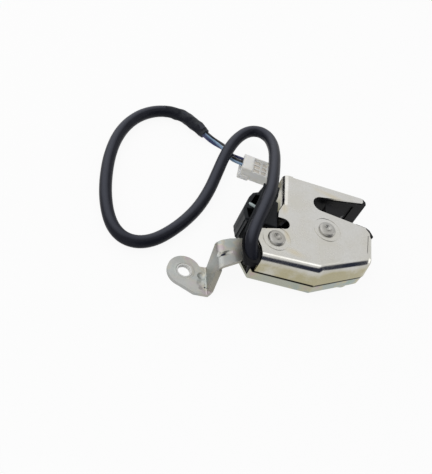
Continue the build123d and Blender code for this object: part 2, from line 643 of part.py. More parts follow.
# ---------------------------------------------------------------- claw
def claw_plan(height, tip_r, lobe_r, hub_r, throat_r):
    """Plan of the claw, turned to its open position."""
    middle = THROAT_ANGLE - CLAW_TURN
    throat = polar(CLAW, THROAT_DIST, middle)
    far = polar(CLAW, 60.0, middle)
    with BuildSketch(Plane.XY.offset(height)) as face:
        with Locations(CLAW):
            Circle(hub_r)
        add(pie(CLAW, tip_r, middle - ARM_FRONT, middle + ARM_REAR, height))
        add(pie(CLAW, lobe_r, middle + LOBE_START, middle + LOBE_END, height))
        with Locations(throat):
            Circle(throat_r, mode=Mode.SUBTRACT)
        with Locations(((throat[0] + far[0]) / 2, (throat[1] + far[1]) / 2)):
            Rectangle(60.0 - THROAT_DIST, 2 * throat_r, rotation=middle, mode=Mode.SUBTRACT)
    return face.sketch


with BuildPart() as claw:
    add(claw_plan(MECH_Z, CLAW_R, CLAW_LOBE_R, CLAW_HUB_R, THROAT_R + CLAW_STEEL_BACK))
    extrude(amount=MECH_THICK)
    corners = claw.edges().filter_by(Axis.Z).filter_by(
        lambda edge: math.dist((edge.center().X, edge.center().Y), CLAW) > CLAW_LOBE_R + 4
    )
    fillet(corners, 1.6)
    with BuildSketch(Plane.XY.offset(MECH_Z)):
        with Locations(CLAW):
            Circle(PIN_R + PIN_CLEAR)
    extrude(amount=MECH_THICK, mode=Mode.SUBTRACT)
save(claw.part, "claw")

with BuildPart() as claw_cover:
    # moulded over the two arms only; the hub and the lobe stay bare steel
    middle = THROAT_ANGLE - CLAW_TURN
    with BuildSketch(Plane.XY.offset(MECH_Z - CLAW_SHELL)):
        add(claw_plan(MECH_Z, CLAW_R + CLAW_SHELL, CLAW_HUB_R, CLAW_HUB_R, THROAT_R - THROAT_LINING))
        with Locations(CLAW):
            Circle(CLAW_HUB_R + COVER_START, mode=Mode.SUBTRACT)
    extrude(amount=MECH_THICK + 2 * CLAW_SHELL)
    tips = claw_cover.edges().filter_by(Axis.Z).filter_by(
        lambda edge: math.dist((edge.center().X, edge.center().Y), CLAW) > CLAW_LOBE_R + 4
    )
    fillet(tips, 1.8)
    add(claw.part, mode=Mode.SUBTRACT)
save(claw_cover.part, "claw_cover")

# ---------------------------------------------------------------- pawl
with BuildPart() as pawl:
    tip = polar(CLAW, CLAW_LOBE_R + GAP, PAWL_TIP_ANGLE)
    reach = math.dist(PAWL, tip)
    aim = math.degrees(math.atan2(tip[1] - PAWL_Y, tip[0] - PAWL_X))
    with BuildSketch(Plane.XY.offset(MECH_Z)) as pawl_face:
        with Locations(PAWL):
            Circle(PAWL_HUB_R)
        # the nose runs to the claw's rim and is hollowed to its radius
        with BuildLine():
            Polyline(
                polar(PAWL, PAWL_HUB_R, aim + 62), polar(PAWL, reach * 0.62, aim + 12),
                polar(PAWL, reach + PAWL_TIP_LAP, aim + 3.0),
                polar(PAWL, reach + PAWL_TIP_LAP / 2, aim - 8.0),
                polar(PAWL, reach * 0.6, aim - 14), polar(PAWL, PAWL_HUB_R, aim - 75), close=True,
            )
        make_face()
        with Locations(CLAW):
            Circle(CLAW_LOBE_R + GAP, mode=Mode.SUBTRACT)
        with Locations((PAWL_X + FINGER_X + FINGER_WIDE / 2, PAWL_Y + FINGER_Y / 2)):
            Rectangle(FINGER_WIDE, FINGER_Y)
        with Locations(PAWL):
            Circle(PIN_R + PIN_CLEAR, mode=Mode.SUBTRACT)
    extrude(amount=MECH_THICK)
save(pawl.part, "pawl")

# ---------------------------------------------------------------- rivets
def rivet(centre):
    """Shouldered rivet with a domed head, its dimple and a flatter tail."""
    with BuildPart() as body:
        with BuildSketch(Plane.XZ.offset(-centre[1])):
            with BuildLine():
                x = centre[0]
                crown = FRONT_Z + HEAD_HEIGHT
                Polyline(
                    (x, BACK_Z - TAIL_HEIGHT), (x + HEAD_R - TAIL_BEVEL, BACK_Z - TAIL_HEIGHT),
                    (x + HEAD_R, BACK_Z - TAIL_HEIGHT + TAIL_BEVEL),
                    (x + HEAD_R, BACK_Z), (x + NECK_R, BACK_Z),
                    (x + NECK_R, BACK_IN_Z), (x + PIN_R, BACK_IN_Z), (x + PIN_R, FRONT_IN_Z),
                    (x + NECK_R, FRONT_IN_Z), (x + NECK_R, FRONT_Z), (x + HEAD_R, FRONT_Z),
                    (x + HEAD_R, FRONT_Z + HEAD_EDGE),
                )
                ThreePointArc(
                    (x + HEAD_R, FRONT_Z + HEAD_EDGE),
                    (x + (HEAD_R * 2 + HEAD_FLAT_R) / 3, crown - HEAD_EDGE * 0.7),
                    (x + HEAD_FLAT_R, crown),
                )
                Polyline(
                    (x + HEAD_FLAT_R, crown), (x + GROOVE_R, crown), (x + GROOVE_R - 0.3, crown - 0.35),
                    (x + CUP_R + 0.2, crown - 0.35), (x + CUP_R, crown - 0.1),
                    (x + CUP_R - 0.7, crown - 0.7), (x, crown - 0.8), (x, BACK_Z - TAIL_HEIGHT),
                )
            make_face()
        revolve(axis=Axis((centre[0], centre[1], 0), (0, 0, 1)))
    return body.part


save(rivet(CLAW), "claw_rivet")
save(rivet(PAWL), "pawl_rivet")

# ---------------------------------------------------------------- washers and springs
def ring(centre, inner, outer, low, high):
    """Flat ring round a rivet."""
    with BuildPart() as body:
        with BuildSketch(Plane.XY.offset(low)):
            with Locations(centre):
                Circle(outer)
                Circle(inner, mode=Mode.SUBTRACT)
        extrude(amount=high - low)
    return body.part


save(ring(CLAW, PIN_R + PIN_CLEAR, CLAW_WASHER_R, MECH_TOP_Z + GAP, FRONT_IN_Z), "claw_washer")
save(ring(PAWL, PIN_R + PIN_CLEAR, PAWL_WASHER_R, MECH_TOP_Z + GAP, FRONT_IN_Z), "pawl_washer")


def torsion_spring(centre, low, first, second, reach):
    """Closed coil round a boss with two straight legs, each in its own direction."""
    radius = BOSS_R + SPRING_GAP + WIRE / 2
    pitch = WIRE * 0.94
    with BuildPart() as body:
        with BuildSketch(Plane.XZ.offset(-centre[1])):
            heights = [low + WIRE / 2 + turn * pitch for turn in range(SPRING_TURNS)]
            with Locations(*[(centre[0] + radius, height) for height in heights]):
                Circle(WIRE / 2)
        revolve(axis=Axis((centre[0], centre[1], 0), (0, 0, 1)))
        for angle, turn in ((first, 0), (second, SPRING_TURNS - 1)):
            # each leg starts inside its coil
            start = polar(polar(centre, radius + WIRE * 0.1, angle), WIRE, angle - 90)
            along = (math.cos(math.radians(angle + 90)), math.sin(math.radians(angle + 90)), 0)
            leg = Plane(origin=(*start, low + WIRE / 2 + turn * pitch), z_dir=along)
            with BuildSketch(leg):
                Circle(WIRE / 2)
            extrude(amount=reach + WIRE)
    return body.part


COIL = WIRE * SPRING_TURNS
save(torsion_spring(CLAW, MECH_Z - GAP - COIL, *CLAW_LEG_TURNS, CLAW_LEG), "claw_spring")
save(torsion_spring(PAWL, LEVER_Z - GAP - COIL, *LEVER_LEG_TURNS, LEVER_LEG), "lever_spring")

# ---------------------------------------------------------------- release lever
def folded(u, v):
    """Plan point at u outwards from the first bend and v along it."""
    along = math.radians(LEVER_BEND_TURN - 90)
    return (
        LEVER_BEND_X + u * math.cos(along - math.pi / 2) + v * math.cos(along),
        LEVER_BEND_Y + u * math.sin(along - math.pi / 2) + v * math.sin(along),
    )


bend_plane = Plane(
    origin=(LEVER_BEND_X, LEVER_BEND_Y, 0),
    x_dir=(-math.cos(math.radians(LEVER_BEND_TURN)), -math.sin(math.radians(LEVER_BEND_TURN)), 0),
    z_dir=(-math.sin(math.radians(LEVER_BEND_TURN)), math.cos(math.radians(LEVER_BEND_TURN)), 0),
)

with BuildPart() as lever_sheet:
    # the folded strip, seen along its bends
    eye_under = EYE_TOP_Z - LEVER_THICK
    with BuildSketch(bend_plane) as fold:
        with BuildLine():
            Polyline(
                (-60, LEVER_TOP_Z), (0, LEVER_TOP_Z), (LEVER_LEAN, EYE_TOP_Z), (60, EYE_TOP_Z),
                (60, eye_under), (LEVER_LEAN - LEVER_THICK, eye_under), (-LEVER_THICK, LEVER_Z),
                (-60, LEVER_Z), close=True,
            )
        make_face()
        for corner, radius in (
            ((0, LEVER_TOP_Z), LEVER_BEND_R),
            ((-LEVER_THICK, LEVER_Z), LEVER_BEND_R - LEVER_THICK),
            ((LEVER_LEAN, EYE_TOP_Z), LEVER_BEND_R - LEVER_THICK),
            ((LEVER_LEAN - LEVER_THICK, eye_under), LEVER_BEND_R),
        ):
            fillet(fold.vertices().sort_by_distance((corner[0], corner[1]))[0], radius)
    extrude(amount=60, both=True)

with BuildPart() as release_lever:
    # upper arm, from the hub to the first bend
    with BuildSketch(Plane.XY.offset(LEVER_Z - 1.0)):
        with Locations(PAWL):
            Circle(LEVER_HUB_R)
        with BuildLine():
            Polyline(
                (PAWL_X + 2.0, PAWL_Y + LEVER_HUB_R - 0.2), *LEVER_UPPER,
                folded(0, LEVER_V[0]), folded(6, LEVER_V[0]), folded(6, LEVER_V[1]), folded(0, LEVER_V[1]),
                *LEVER_LOWER, (PAWL_X, PAWL_Y - LEVER_HUB_R), close=True,
            )
        make_face()
    extrude(amount=LEVER_THICK + 2.0)
    # the strip runs on askew down the wall
    with BuildSketch(Plane.XY.offset(LEVER_Z - 1.0)):
        with BuildLine():
            Polyline(
                folded(-5, LEVER_V[0]), folded(9, LEVER_V[0]),
                folded(9, LEVER_V[1]), folded(-5, LEVER_V[1]), close=True,
            )
        make_face()
    with BuildSketch(Plane.XY.offset(EYE_TOP_Z + 1.0)):
        with BuildLine():
            Polyline(
                folded(-5, LEVER_V[2]), folded(9, LEVER_V[2]),
                folded(9, LEVER_V[3]), folded(-5, LEVER_V[3]), close=True,
            )
        make_face()
    loft(ruled=True)
    # eye plate
    with BuildSketch(Plane.XY.offset(EYE_TOP_Z - LEVER_THICK - 1.0)) as eye_face:
        with Locations((EYE_X, EYE_Y)):
            Circle(EYE_R)
        with BuildLine():
            Polyline(
                (EYE_X + 1.2, EYE_Y + EYE_R - 0.4), (EYE_X + 3.8, EYE_Y + 7.6), (EYE_X + 8.3, EYE_Y + 5.2),
                folded(LEVER_LEAN, LEVER_V[2]), folded(-1, LEVER_V[2]), folded(-1, LEVER_V[3] - 1.0),
                folded(LEVER_LEAN - 1, LEVER_V[3] + 1.8), (EYE_X + 7.2, EYE_Y - 12.9),
                (EYE_X - 4.6, EYE_Y - 8.4),
                close=True,
            )
        make_face()
    extrude(amount=LEVER_THICK + 2.0)
    add(lever_sheet.part, mode=Mode.INTERSECT)
    with BuildSketch(Plane.XY.offset(LEVER_Z)):
        with Locations(PAWL):
            Circle(PIN_R + PIN_CLEAR)
    extrude(amount=LEVER_THICK, mode=Mode.SUBTRACT)
    with BuildSketch(Plane.XY.offset(EYE_TOP_Z)):
        with Locations((EYE_X, EYE_Y)):
            Circle(EYE_HOLE_R + BUSH_WALL)
    extrude(amount=-LEVER_THICK, mode=Mode.SUBTRACT)
    # stiffening dents pressed into the two bends
    upper_dent = folded(GUSSET_R * 0.55, (LEVER_V[0] + LEVER_V[1]) / 2)
    lower_dent = folded(LEVER_LEAN + GUSSET_R * 0.75, (LEVER_V[2] + LEVER_V[3]) / 2 - 2.0)
    with Locations(
        (*upper_dent, LEVER_TOP_Z + GUSSET_R * 0.55 - GUSSET_DEEP),
        (*lower_dent, EYE_TOP_Z + GUSSET_R - GUSSET_DEEP),
    ):
        Sphere(radius=GUSSET_R, mode=Mode.SUBTRACT)
save(release_lever.part, "release_lever")

with BuildPart() as lever_bush:
    # flanged nylon bush pressed into the eye
    with BuildSketch(Plane.XY.offset(EYE_TOP_Z)):
        with Locations((EYE_X, EYE_Y)):
            Circle(EYE_HOLE_R + BUSH_WALL)
            Circle(EYE_HOLE_R, mode=Mode.SUBTRACT)
    extrude(amount=-LEVER_THICK - BUSH_PROUD)
    with BuildSketch(Plane.XY.offset(EYE_TOP_Z)):
        with Locations((EYE_X, EYE_Y)):
            Circle(EYE_HOLE_R + BUSH_WALL + BUSH_RIM)
            Circle(EYE_HOLE_R, mode=Mode.SUBTRACT)
    extrude(amount=BUSH_RIM_THICK)
save(lever_bush.part, "lever_bush")

# ---------------------------------------------------------------- cord path
def bend_radii(points):
    """Largest arc that each corner's two runs allow: 0.45 of the shorter, over the half turn's tangent."""
    radii = []
    for before, here, after in zip(points, points[1:], points[2:]):
        run_in = Vector(*here) - Vector(*before)
        run_out = Vector(*after) - Vector(*here)
        turn = math.radians(run_in.get_angle(run_out))
        radii.append(0.45 * min(run_in.length, run_out.length) / math.tan(turn / 2))
    return radii


def tube(points, diameter, name):
    """Round tube along straight runs joined by tangent arcs."""
    radii = bend_radii(points)
    with BuildPart() as body:
        with BuildLine() as path:
            FilletPolyline(*points, radius=radii)
        heading = Vector(*points[1]) - Vector(*points[0])
        with BuildSketch(Plane(origin=points[0], z_dir=heading)):
            Circle(diameter / 2)
        sweep()
    length = path.wire().length
    share = body.part.volume / (math.pi * diameter ** 2 / 4 * length)
    print(f"{name}: length {length:.1f}, volume over section times length {share:.4f}")
    print("   radii", " ".join(f"{radius:.1f}" for radius in radii))
    save(body.part, name)
    return body.part


def trough(first_y, last_y):
    """Open half tube under the cord, between two stations along Y."""
    points = CORD_ROUTE[:TROUGH_POINTS]
    outer = CORD_D / 2 + TROUGH_CLEAR + TROUGH_WALL
    with BuildPart() as body:
        with BuildLine():
            FilletPolyline(*points, radius=bend_radii(points))
        heading = Vector(*points[1]) - Vector(*points[0])
        with BuildSketch(Plane(origin=points[0], z_dir=heading)):
            Circle(outer)
            Circle(outer - TROUGH_WALL, mode=Mode.SUBTRACT)
        sweep()
        # everything above its rim goes
        with BuildSketch(Plane.YZ.offset(-80.0)):
            with BuildLine():
                Polyline(*TROUGH_RIM, (TROUGH_RIM[-1][0], 60.0), (TROUGH_RIM[0][0], 60.0), close=True)
            make_face()
        extrude(amount=80.0, mode=Mode.SUBTRACT)
        # and what would stand in the front shell
        with BuildSketch(Plane.XY.offset(FRONT_IN_Z - GAP)):
            with Locations((SHELL_WAIST_X + 20.0, -50.0)):
                Rectangle(40.0, 42.0)
        extrude(amount=20.0, mode=Mode.SUBTRACT)
        with BuildSketch(Plane.XY.offset(SKIRT_Z - GAP)):
            with Locations((BOTTOM_LEFT[0] - GAP + 20.0, -60.0)):
                Rectangle(40.0, 30.0)
        extrude(amount=20.0, mode=Mode.SUBTRACT)
        with BuildSketch(Plane.XY):
            with Locations((-40.0, (first_y + last_y) / 2)):
                Rectangle(60.0, last_y - first_y)
        extrude(amount=60.0, mode=Mode.INTERSECT)
    return body.part


# ---------------------------------------------------------------- switch and its housing
SWITCH_LEFT = SWITCH_X - SWITCH_SIDE
SWITCH_BACK_Y = SWITCH_Y + SWITCH_W
TERMINALS = [SWITCH_LEFT + SWITCH_L / 2 + step * TERMINAL_PITCH for step in (-1, 0, 1)]
TERMINAL_RIBS = [SWITCH_LEFT + SWITCH_L / 2 + step * TERMINAL_PITCH for step in (-0.5, 0.5)]
HOUSING_RIGHT = SWITCH_LEFT + SWITCH_L + SWITCH_FIT + HOUSING_WALL
housing_trough = trough(TROUGH_SPLIT_Y, TROUGH_TOP_Y)
housing_plan = [
    *HOUSING_LEFT, (HOUSING_LEFT[-1][0] + 0.2, HOUSING_FRONT_Y), (HOUSING_RIGHT, HOUSING_FRONT_Y),
    (HOUSING_RIGHT, HOUSING_BACK_Y), HOUSING_NECK,
]
with BuildPart() as switch_housing:
    with BuildSketch(Plane.XY.offset(BACK_IN_Z)) as block:
        with BuildLine():
            Polyline(*housing_plan, close=True)
        make_face()
        fillet(block.vertices().sort_by_distance(HOUSING_LEFT[4])[0], HOUSING_CORNER_R)
        fillet(block.vertices().sort_by_distance(HOUSING_LEFT[3])[0], HOUSING_CORNER_R)
    extrude(amount=HOUSING_TOP_Z - BACK_IN_Z)
    roof_edges = switch_housing.edges().filter_by_position(Axis.Z, HOUSING_TOP_Z - 0.01, HOUSING_TOP_Z + 0.01)
    fillet(roof_edges, HOUSING_ROUND)
    with BuildSketch(Plane.XY.offset(BACK_IN_Z)):
        with BuildLine():
            Polyline(*housing_plan, close=True)
        make_face()
        offset(amount=-HOUSING_WALL, kind=Kind.INTERSECTION)
    extrude(amount=HOUSING_TOP_Z - HOUSING_WALL - BACK_IN_Z, mode=Mode.SUBTRACT)
    # open front for the switch, and side cheeks that hold it
    with BuildSketch(Plane.XY.offset(SWITCH_Z - SWITCH_T / 2 - SWITCH_FIT)):
        with Locations((SWITCH_LEFT + SWITCH_L / 2, SWITCH_Y + SWITCH_W / 4)):
            Rectangle(SWITCH_L + 2 * SWITCH_FIT, SWITCH_W * 0.8)
    extrude(amount=SWITCH_T + 2 * SWITCH_FIT, mode=Mode.SUBTRACT)
    with BuildSketch(Plane.XY.offset(SWITCH_Z - SWITCH_T / 2)):
        cheek_y = HOUSING_FRONT_Y + HOUSING_WALL / 2 + CHEEK_LONG / 2
        with Locations((SWITCH_LEFT - CHEEK / 2 - SWITCH_FIT, cheek_y)):
            Rectangle(CHEEK, CHEEK_LONG)
        with Locations(*[(x, SWITCH_BACK_Y + SWITCH_FIT + TERMINAL_RIB / 2) for x in TERMINAL_RIBS]):
            Rectangle(TERMINAL_RIB, TERMINAL_RIB)
    extrude(amount=HOUSING_TOP_Z - HOUSING_WALL / 2 - SWITCH_Z + SWITCH_T / 2)
    # hooked corner at the lower left
    with BuildSketch(Plane.XY.offset(BACK_IN_Z)):
        with BuildLine():
            Polyline(*HOOK, close=True)
        make_face()
    extrude(amount=HOUSING_TOP_Z - HOUSING_ROUND - BACK_IN_Z)
    # two windows in the roof, with a bar between them
    with BuildSketch(Plane.XY.offset(HOUSING_TOP_Z)):
        for window in (UPPER_WINDOW, LOWER_WINDOW):
            with BuildLine():
                Polyline(*window, close=True)
            make_face()
    extrude(amount=-HOUSING_WALL - HOUSING_ROUND, mode=Mode.SUBTRACT)
    # the roof carries the cord's trough
    add(housing_trough)
save(switch_housing.part, "switch_housing")

with BuildPart() as switch_body:
    with BuildSketch(Plane.XY.offset(SWITCH_Z - SWITCH_T / 2)):
        with Locations((SWITCH_LEFT + SWITCH_L / 2, SWITCH_Y + SWITCH_W / 2)):
            Rectangle(SWITCH_L, SWITCH_W)
    extrude(amount=SWITCH_T)
    chamfer(switch_body.edges().filter_by(Axis.Z), 0.5)
    with BuildSketch(Plane.XZ.offset(-SWITCH_Y)):
        with Locations((SWITCH_X, SWITCH_Z)):
            Rectangle(PLUNGER_W + 2 * PLUNGER_FIT, PLUNGER_H + 2 * PLUNGER_FIT)
    extrude(amount=-PLUNGER_WELL, mode=Mode.SUBTRACT)
save(switch_body.part, "switch_body")

with BuildPart() as switch_plunger:
    plunger_tip = PAWL_Y + FINGER_Y + GAP
    with BuildSketch(Plane.XZ.offset(-plunger_tip)):
        with Locations((SWITCH_X, SWITCH_Z)):
            Rectangle(PLUNGER_W, PLUNGER_H)
    extrude(amount=plunger_tip - SWITCH_Y - PLUNGER_LAP)
    fillet(switch_plunger.faces().sort_by(Axis.Y)[0].edges(), 0.4)
save(switch_plunger.part, "switch_plunger")

with BuildPart() as switch_terminals:
    with BuildSketch(Plane.XZ.offset(-SWITCH_BACK_Y)):
        with Locations(*[(x, SWITCH_Z) for x in TERMINALS]):
            Rectangle(TERMINAL_W, TERMINAL_THICK)
    extrude(amount=-TERMINAL_LONG)
    with BuildSketch(Plane.XY.offset(SWITCH_Z - 1)):
        with Locations(*[(x, SWITCH_BACK_Y + TERMINAL_LONG * 2 / 3) for x in TERMINALS]):
            Circle(TERMINAL_EYE)
    extrude(amount=2, mode=Mode.SUBTRACT)
save(switch_terminals.part, "switch_terminals")

# ---------------------------------------------------------------- sleeve, gland and wires
sleeve = tube(CORD_ROUTE, CORD_D, "cord_sleeve")
tube(INNER_LEAD, INNER_LEAD_D, "inner_lead")
gland_trough = trough(GLAND_END_Y, TROUGH_SPLIT_Y)

with BuildPart() as cord_gland:
    # the neck rises from the back plate and leans towards the cord
    with BuildSketch(Plane.XY.offset(BACK_IN_Z)):
        with Locations(GLAND_FOOT):
            RectangleRounded(*GLAND_FOOT_SIZE, 1.0)
    with BuildSketch(Plane.XY.offset(GLAND_NECK_Z)):
        with Locations(GLAND_NECK):
            RectangleRounded(*GLAND_NECK_SIZE, 1.0)
    loft()
    add(gland_trough)
    add(sleeve, mode=Mode.SUBTRACT)
    # room for the lever, which passes under the cord
    with BuildSketch(Plane.XY.offset(BACK_IN_Z)):
        with Locations((GLAND_LEVER_X - 20.0, GLAND_NECK[1])):
            Rectangle(40.0, 40.0)
    extrude(amount=LEVER_TOP_Z + GAP - BACK_IN_Z, mode=Mode.SUBTRACT)
save(cord_gland.part, "cord_gland")


end = Vector(*CORD_ROUTE[-1])
heading = (end - Vector(*CORD_ROUTE[-2])).normalized()
side = Vector(-heading.Y, heading.X, 0)
conn_turn = math.radians(CONN_TURN)
connector = Plane(origin=(CONN_X, CONN_Y, 0), x_dir=(math.cos(conn_turn), math.sin(conn_turn), 0))
for name, step in (("wire_light_blue", -1), ("wire_black", 0), ("wire_blue", 1)):
    start = end + side * (step * (WIRE_D + WIRE_GAP))
    spread = [(start.X, start.Y, start.Z)]
    first = start + heading * WIRE_STRAIGHT
    spread.append((first.X, first.Y, first.Z))
    for point in WIRE_ROUTE:
        spread.append((point[0] + step * WIRE_FAN[0], point[1] + step * WIRE_FAN[1], point[2]))
    for depth in (-4.5, WIRE_SEAT):
        entry = connector.from_local_coords(Vector(depth, WIRE_ENTRY_Y + step * WIRE_PITCH, WIRE_ENTRY_Z))
        spread.append((entry.X, entry.Y, entry.Z))
    tube(spread, WIRE_D, name)

# ---------------------------------------------------------------- connector
TRAY_Z = CONN_H - CONN_STEP
CHANNELS = [step * CHANNEL_PITCH - CONN_RAIL / 2 for step in (-1, 0, 1)]


def end_plane(depth):
    """Plane across the connector at a distance from its wire end."""
    middle = connector.from_local_coords(Vector(depth, 0, 0))
    return Plane(origin=middle, x_dir=connector.y_dir, z_dir=connector.x_dir)


with BuildPart() as connector_body:
    with BuildSketch(connector):
        with Locations((CONN_LEN / 2, 0)):
            Rectangle(CONN_LEN, CONN_W)
    extrude(amount=CONN_H)
    fillet(connector_body.edges().filter_by(lambda edge: edge.length > CONN_LEN - 1), 0.8)
    # ledge round the block's foot
    with BuildSketch(connector):
        with Locations((CONN_BLOCK / 2 - CONN_LEDGE / 2, -CONN_LEDGE / 2)):
            RectangleRounded(CONN_BLOCK + CONN_LEDGE, CONN_W + CONN_LEDGE, 1.0)
    extrude(amount=CONN_LEDGE_H)
    # the tray lies lower than the block, between two rails
    with BuildSketch(connector.offset(CONN_H)):
        with Locations((CONN_BLOCK + CONN_LEN / 2, -CONN_RAIL)):
            Rectangle(CONN_LEN, CONN_W)
    extrude(amount=-CONN_STEP, mode=Mode.SUBTRACT)
    # mating mouth
    with BuildSketch(end_plane(CONN_LEN)):
        with Locations((0, TRAY_Z / 2)):
            Rectangle(CONN_W - 2 * CONN_WALL, TRAY_Z - 2 * CONN_WALL)
    extrude(amount=-CONN_MOUTH, mode=Mode.SUBTRACT)
    # open channels over the contacts, each with a bridge across
    with BuildSketch(connector.offset(TRAY_Z)):
        with Locations(*[(CHANNEL_START + CHANNEL_LONG / 2, across) for across in CHANNELS]):
            Rectangle(CHANNEL_LONG, CHANNEL_W)
        with Locations((CHANNEL_START + CHANNEL_LONG * BRIDGE_AT, 0)):
            Rectangle(CHANNEL_BRIDGE, CONN_W, mode=Mode.SUBTRACT)
    extrude(amount=-CHANNEL_DEEP, mode=Mode.SUBTRACT)
    with BuildSketch(end_plane(0)):
        with Locations(*[(WIRE_ENTRY_Y + step * WIRE_PITCH, WIRE_ENTRY_Z) for step in (-1, 0, 1)]):
            Circle(WIRE_D / 2 + WIRE_SLACK)
    extrude(amount=WIRE_SEAT, mode=Mode.SUBTRACT)
save(connector_body.part, "connector_body")

with BuildPart() as connector_blades:
    with BuildSketch(end_plane(CONN_LEN - CONN_MOUTH)):
        with Locations(*[(across, TRAY_Z / 2) for across in CHANNELS]):
            Rectangle(BLADE_W, BLADE_THICK)
    extrude(amount=BLADE_LONG)
save(connector_blades.part, "connector_blades")

with BuildPart() as connector_crimps:
    # crimped shoulders of the contacts, which the channels show
    crimp_long = CHANNEL_LONG * BRIDGE_AT - CHANNEL_BRIDGE / 2
    rear_x = CHANNEL_START + CHANNEL_LONG * BRIDGE_AT + CHANNEL_BRIDGE / 2 + crimp_long * REAR_CRIMP / 2
    with BuildSketch(connector.offset(TRAY_Z - CHANNEL_DEEP)):
        with Locations(*[(CHANNEL_START + crimp_long / 2, across) for across in CHANNELS]):
            Rectangle(crimp_long, CRIMP_W)
        with Locations(*[(rear_x, across) for across in CHANNELS]):
            Rectangle(crimp_long * REAR_CRIMP, CRIMP_W)
    extrude(amount=CRIMP_H)
save(connector_crimps.part, "connector_crimps")
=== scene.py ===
"""Door latch actuator: the finishes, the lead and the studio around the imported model."""
import math

import bmesh
import bpy
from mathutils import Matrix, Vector


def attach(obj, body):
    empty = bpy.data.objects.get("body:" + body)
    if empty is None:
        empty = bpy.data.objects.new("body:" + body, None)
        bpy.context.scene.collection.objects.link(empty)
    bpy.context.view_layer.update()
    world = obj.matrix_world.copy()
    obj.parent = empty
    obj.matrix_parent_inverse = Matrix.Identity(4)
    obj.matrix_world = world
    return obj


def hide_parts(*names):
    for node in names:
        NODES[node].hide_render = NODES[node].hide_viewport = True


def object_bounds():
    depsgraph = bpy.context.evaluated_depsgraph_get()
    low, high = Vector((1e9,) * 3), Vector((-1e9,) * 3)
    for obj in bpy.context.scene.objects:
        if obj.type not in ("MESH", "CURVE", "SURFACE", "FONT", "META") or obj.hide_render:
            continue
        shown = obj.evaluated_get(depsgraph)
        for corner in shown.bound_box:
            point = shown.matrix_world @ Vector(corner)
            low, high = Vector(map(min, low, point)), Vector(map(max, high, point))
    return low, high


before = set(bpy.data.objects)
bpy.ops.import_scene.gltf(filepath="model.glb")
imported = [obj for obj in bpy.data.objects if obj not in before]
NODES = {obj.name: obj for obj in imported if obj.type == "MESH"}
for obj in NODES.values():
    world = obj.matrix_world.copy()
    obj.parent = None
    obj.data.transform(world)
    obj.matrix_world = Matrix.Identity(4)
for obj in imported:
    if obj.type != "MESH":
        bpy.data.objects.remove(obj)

bl_info = {
    "name": "Door Latch Actuator",
    "version": (1, 0, 0),
    "blender": (4, 5, 0),
    "location": "View3D > Sidebar > Latch",
    "description": "Finishes, lead and studio for a door latch actuator",
    "category": "Object",
}

CAD_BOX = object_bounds()
MM = 0.001

# Route of the lead's sleeve, from the gland to the wires, in millimetres
SLEEVE_ROUTE = [
    (-38.9, -51.7, 16.9), (-40.8, -49.2, 21.1), (-43.0, -43.2, 25.2), (-41.7, -35.2, 26.9), (-39.6, -27.6, 27.2),
    (-36.9, -17.4, 27.3), (-33.5, -4.2, 26.9), (-31.8, 10.2, 25.0), (-30.5, 25.0, 22.0), (-29.8, 38.4, 18.8),
    (-30.6, 49.2, 15.8), (-32.8, 57.4, 13.2), (-37.8, 62.4, 11.2), (-44.4, 61.6, 9.9), (-50.2, 55.6, 9.2),
    (-55.0, 46.6, 8.4), (-59.0, 34.2, 7.2), (-62.0, 19.2, 5.9), (-65.2, 3.8, 4.6), (-70.0, -10.8, 3.7),
    (-76.8, -24.2, 3.7), (-84.8, -36.0, 3.7), (-93.0, -44.8, 3.7), (-101.4, -49.2, 3.7), (-109.6, -48.8, 3.7),
    (-116.2, -43.6, 3.7), (-121.0, -34.6, 3.7), (-124.8, -22.0, 3.7), (-127.2, -7.2, 3.7), (-128.2, 8.4, 3.7),
    (-127.2, 23.6, 3.7), (-123.8, 37.4, 3.7), (-117.8, 49.2, 3.7), (-109.6, 58.0, 3.7), (-100.0, 63.0, 3.7),
    (-90.4, 63.4, 3.7), (-81.8, 59.8, 3.7), (-74.6, 54.0, 3.7),
]
WRAP_LONG = 0.034      # length of the tape over the sleeve's end, in metres
WRAP_PROUD = 0.0022    # and how far it reaches past that end
WRAP_NECK = 0.008      # the tape is drawn in over this length
WRAP_FADE = 0.010      # and lies flat on the sleeve over this one
WRAP_STEP = 0.0011     # between its rings
WRAP_SIDES = 24

# Connector and its three channels, in millimetres: its place, and the channels' middles across it
CONNECTOR = (-46.4, 33.8)
CONNECTOR_TURN = math.radians(-5.0)
CHANNELS = (-4.3, -0.6, 3.1)
# contact shoulders in the channels: heights, half width, bevel, and how far each depth stays under the crown
CONTACT_FOOT = 4.3
CONTACT_CROWN = 7.8
CONTACT_HALF = 1.38
CONTACT_BEVEL = (0.4, 0.35)
CONTACT_PROFILE = ((7.45, 0.5), (8.0, 0.25), (10.8, 0.2), (11.5, 0.5), (12.8, 0.2), (15.2, 0.25), (15.75, 0.5))

# Wires, in millimetres: the middle of their run in plan and how far each lies from its neighbour there
WIRE_MIDDLE = [(-65.4, 50.4), (-58.4, 46.6), (-53.0, 41.0)]
WIRE_FAN = (1.3, 2.1)
WIRE_SPREAD = 2.0      # between the wires in the sleeve's mouth
WIRE_STRAIGHT = 5.0    # straight run out of the sleeve
WIRE_PITCH = 2.6       # between their seats in the connector
WIRE_ENTRY_Y = 2.2
WIRE_ENTRY_Z = 5.4
WIRE_ENTRY = (-4.5, 3.0)  # depths of the last two points, before and in the connector
# each wire's node, its slot, its place in the row and its length in metres
WIRES = (
    ("wire_light_blue", "wire_sky", -1, 0.0403),
    ("wire_black", "wire_dark", 0, 0.0393),
    ("wire_blue", "wire_navy", 1, 0.0384),
)
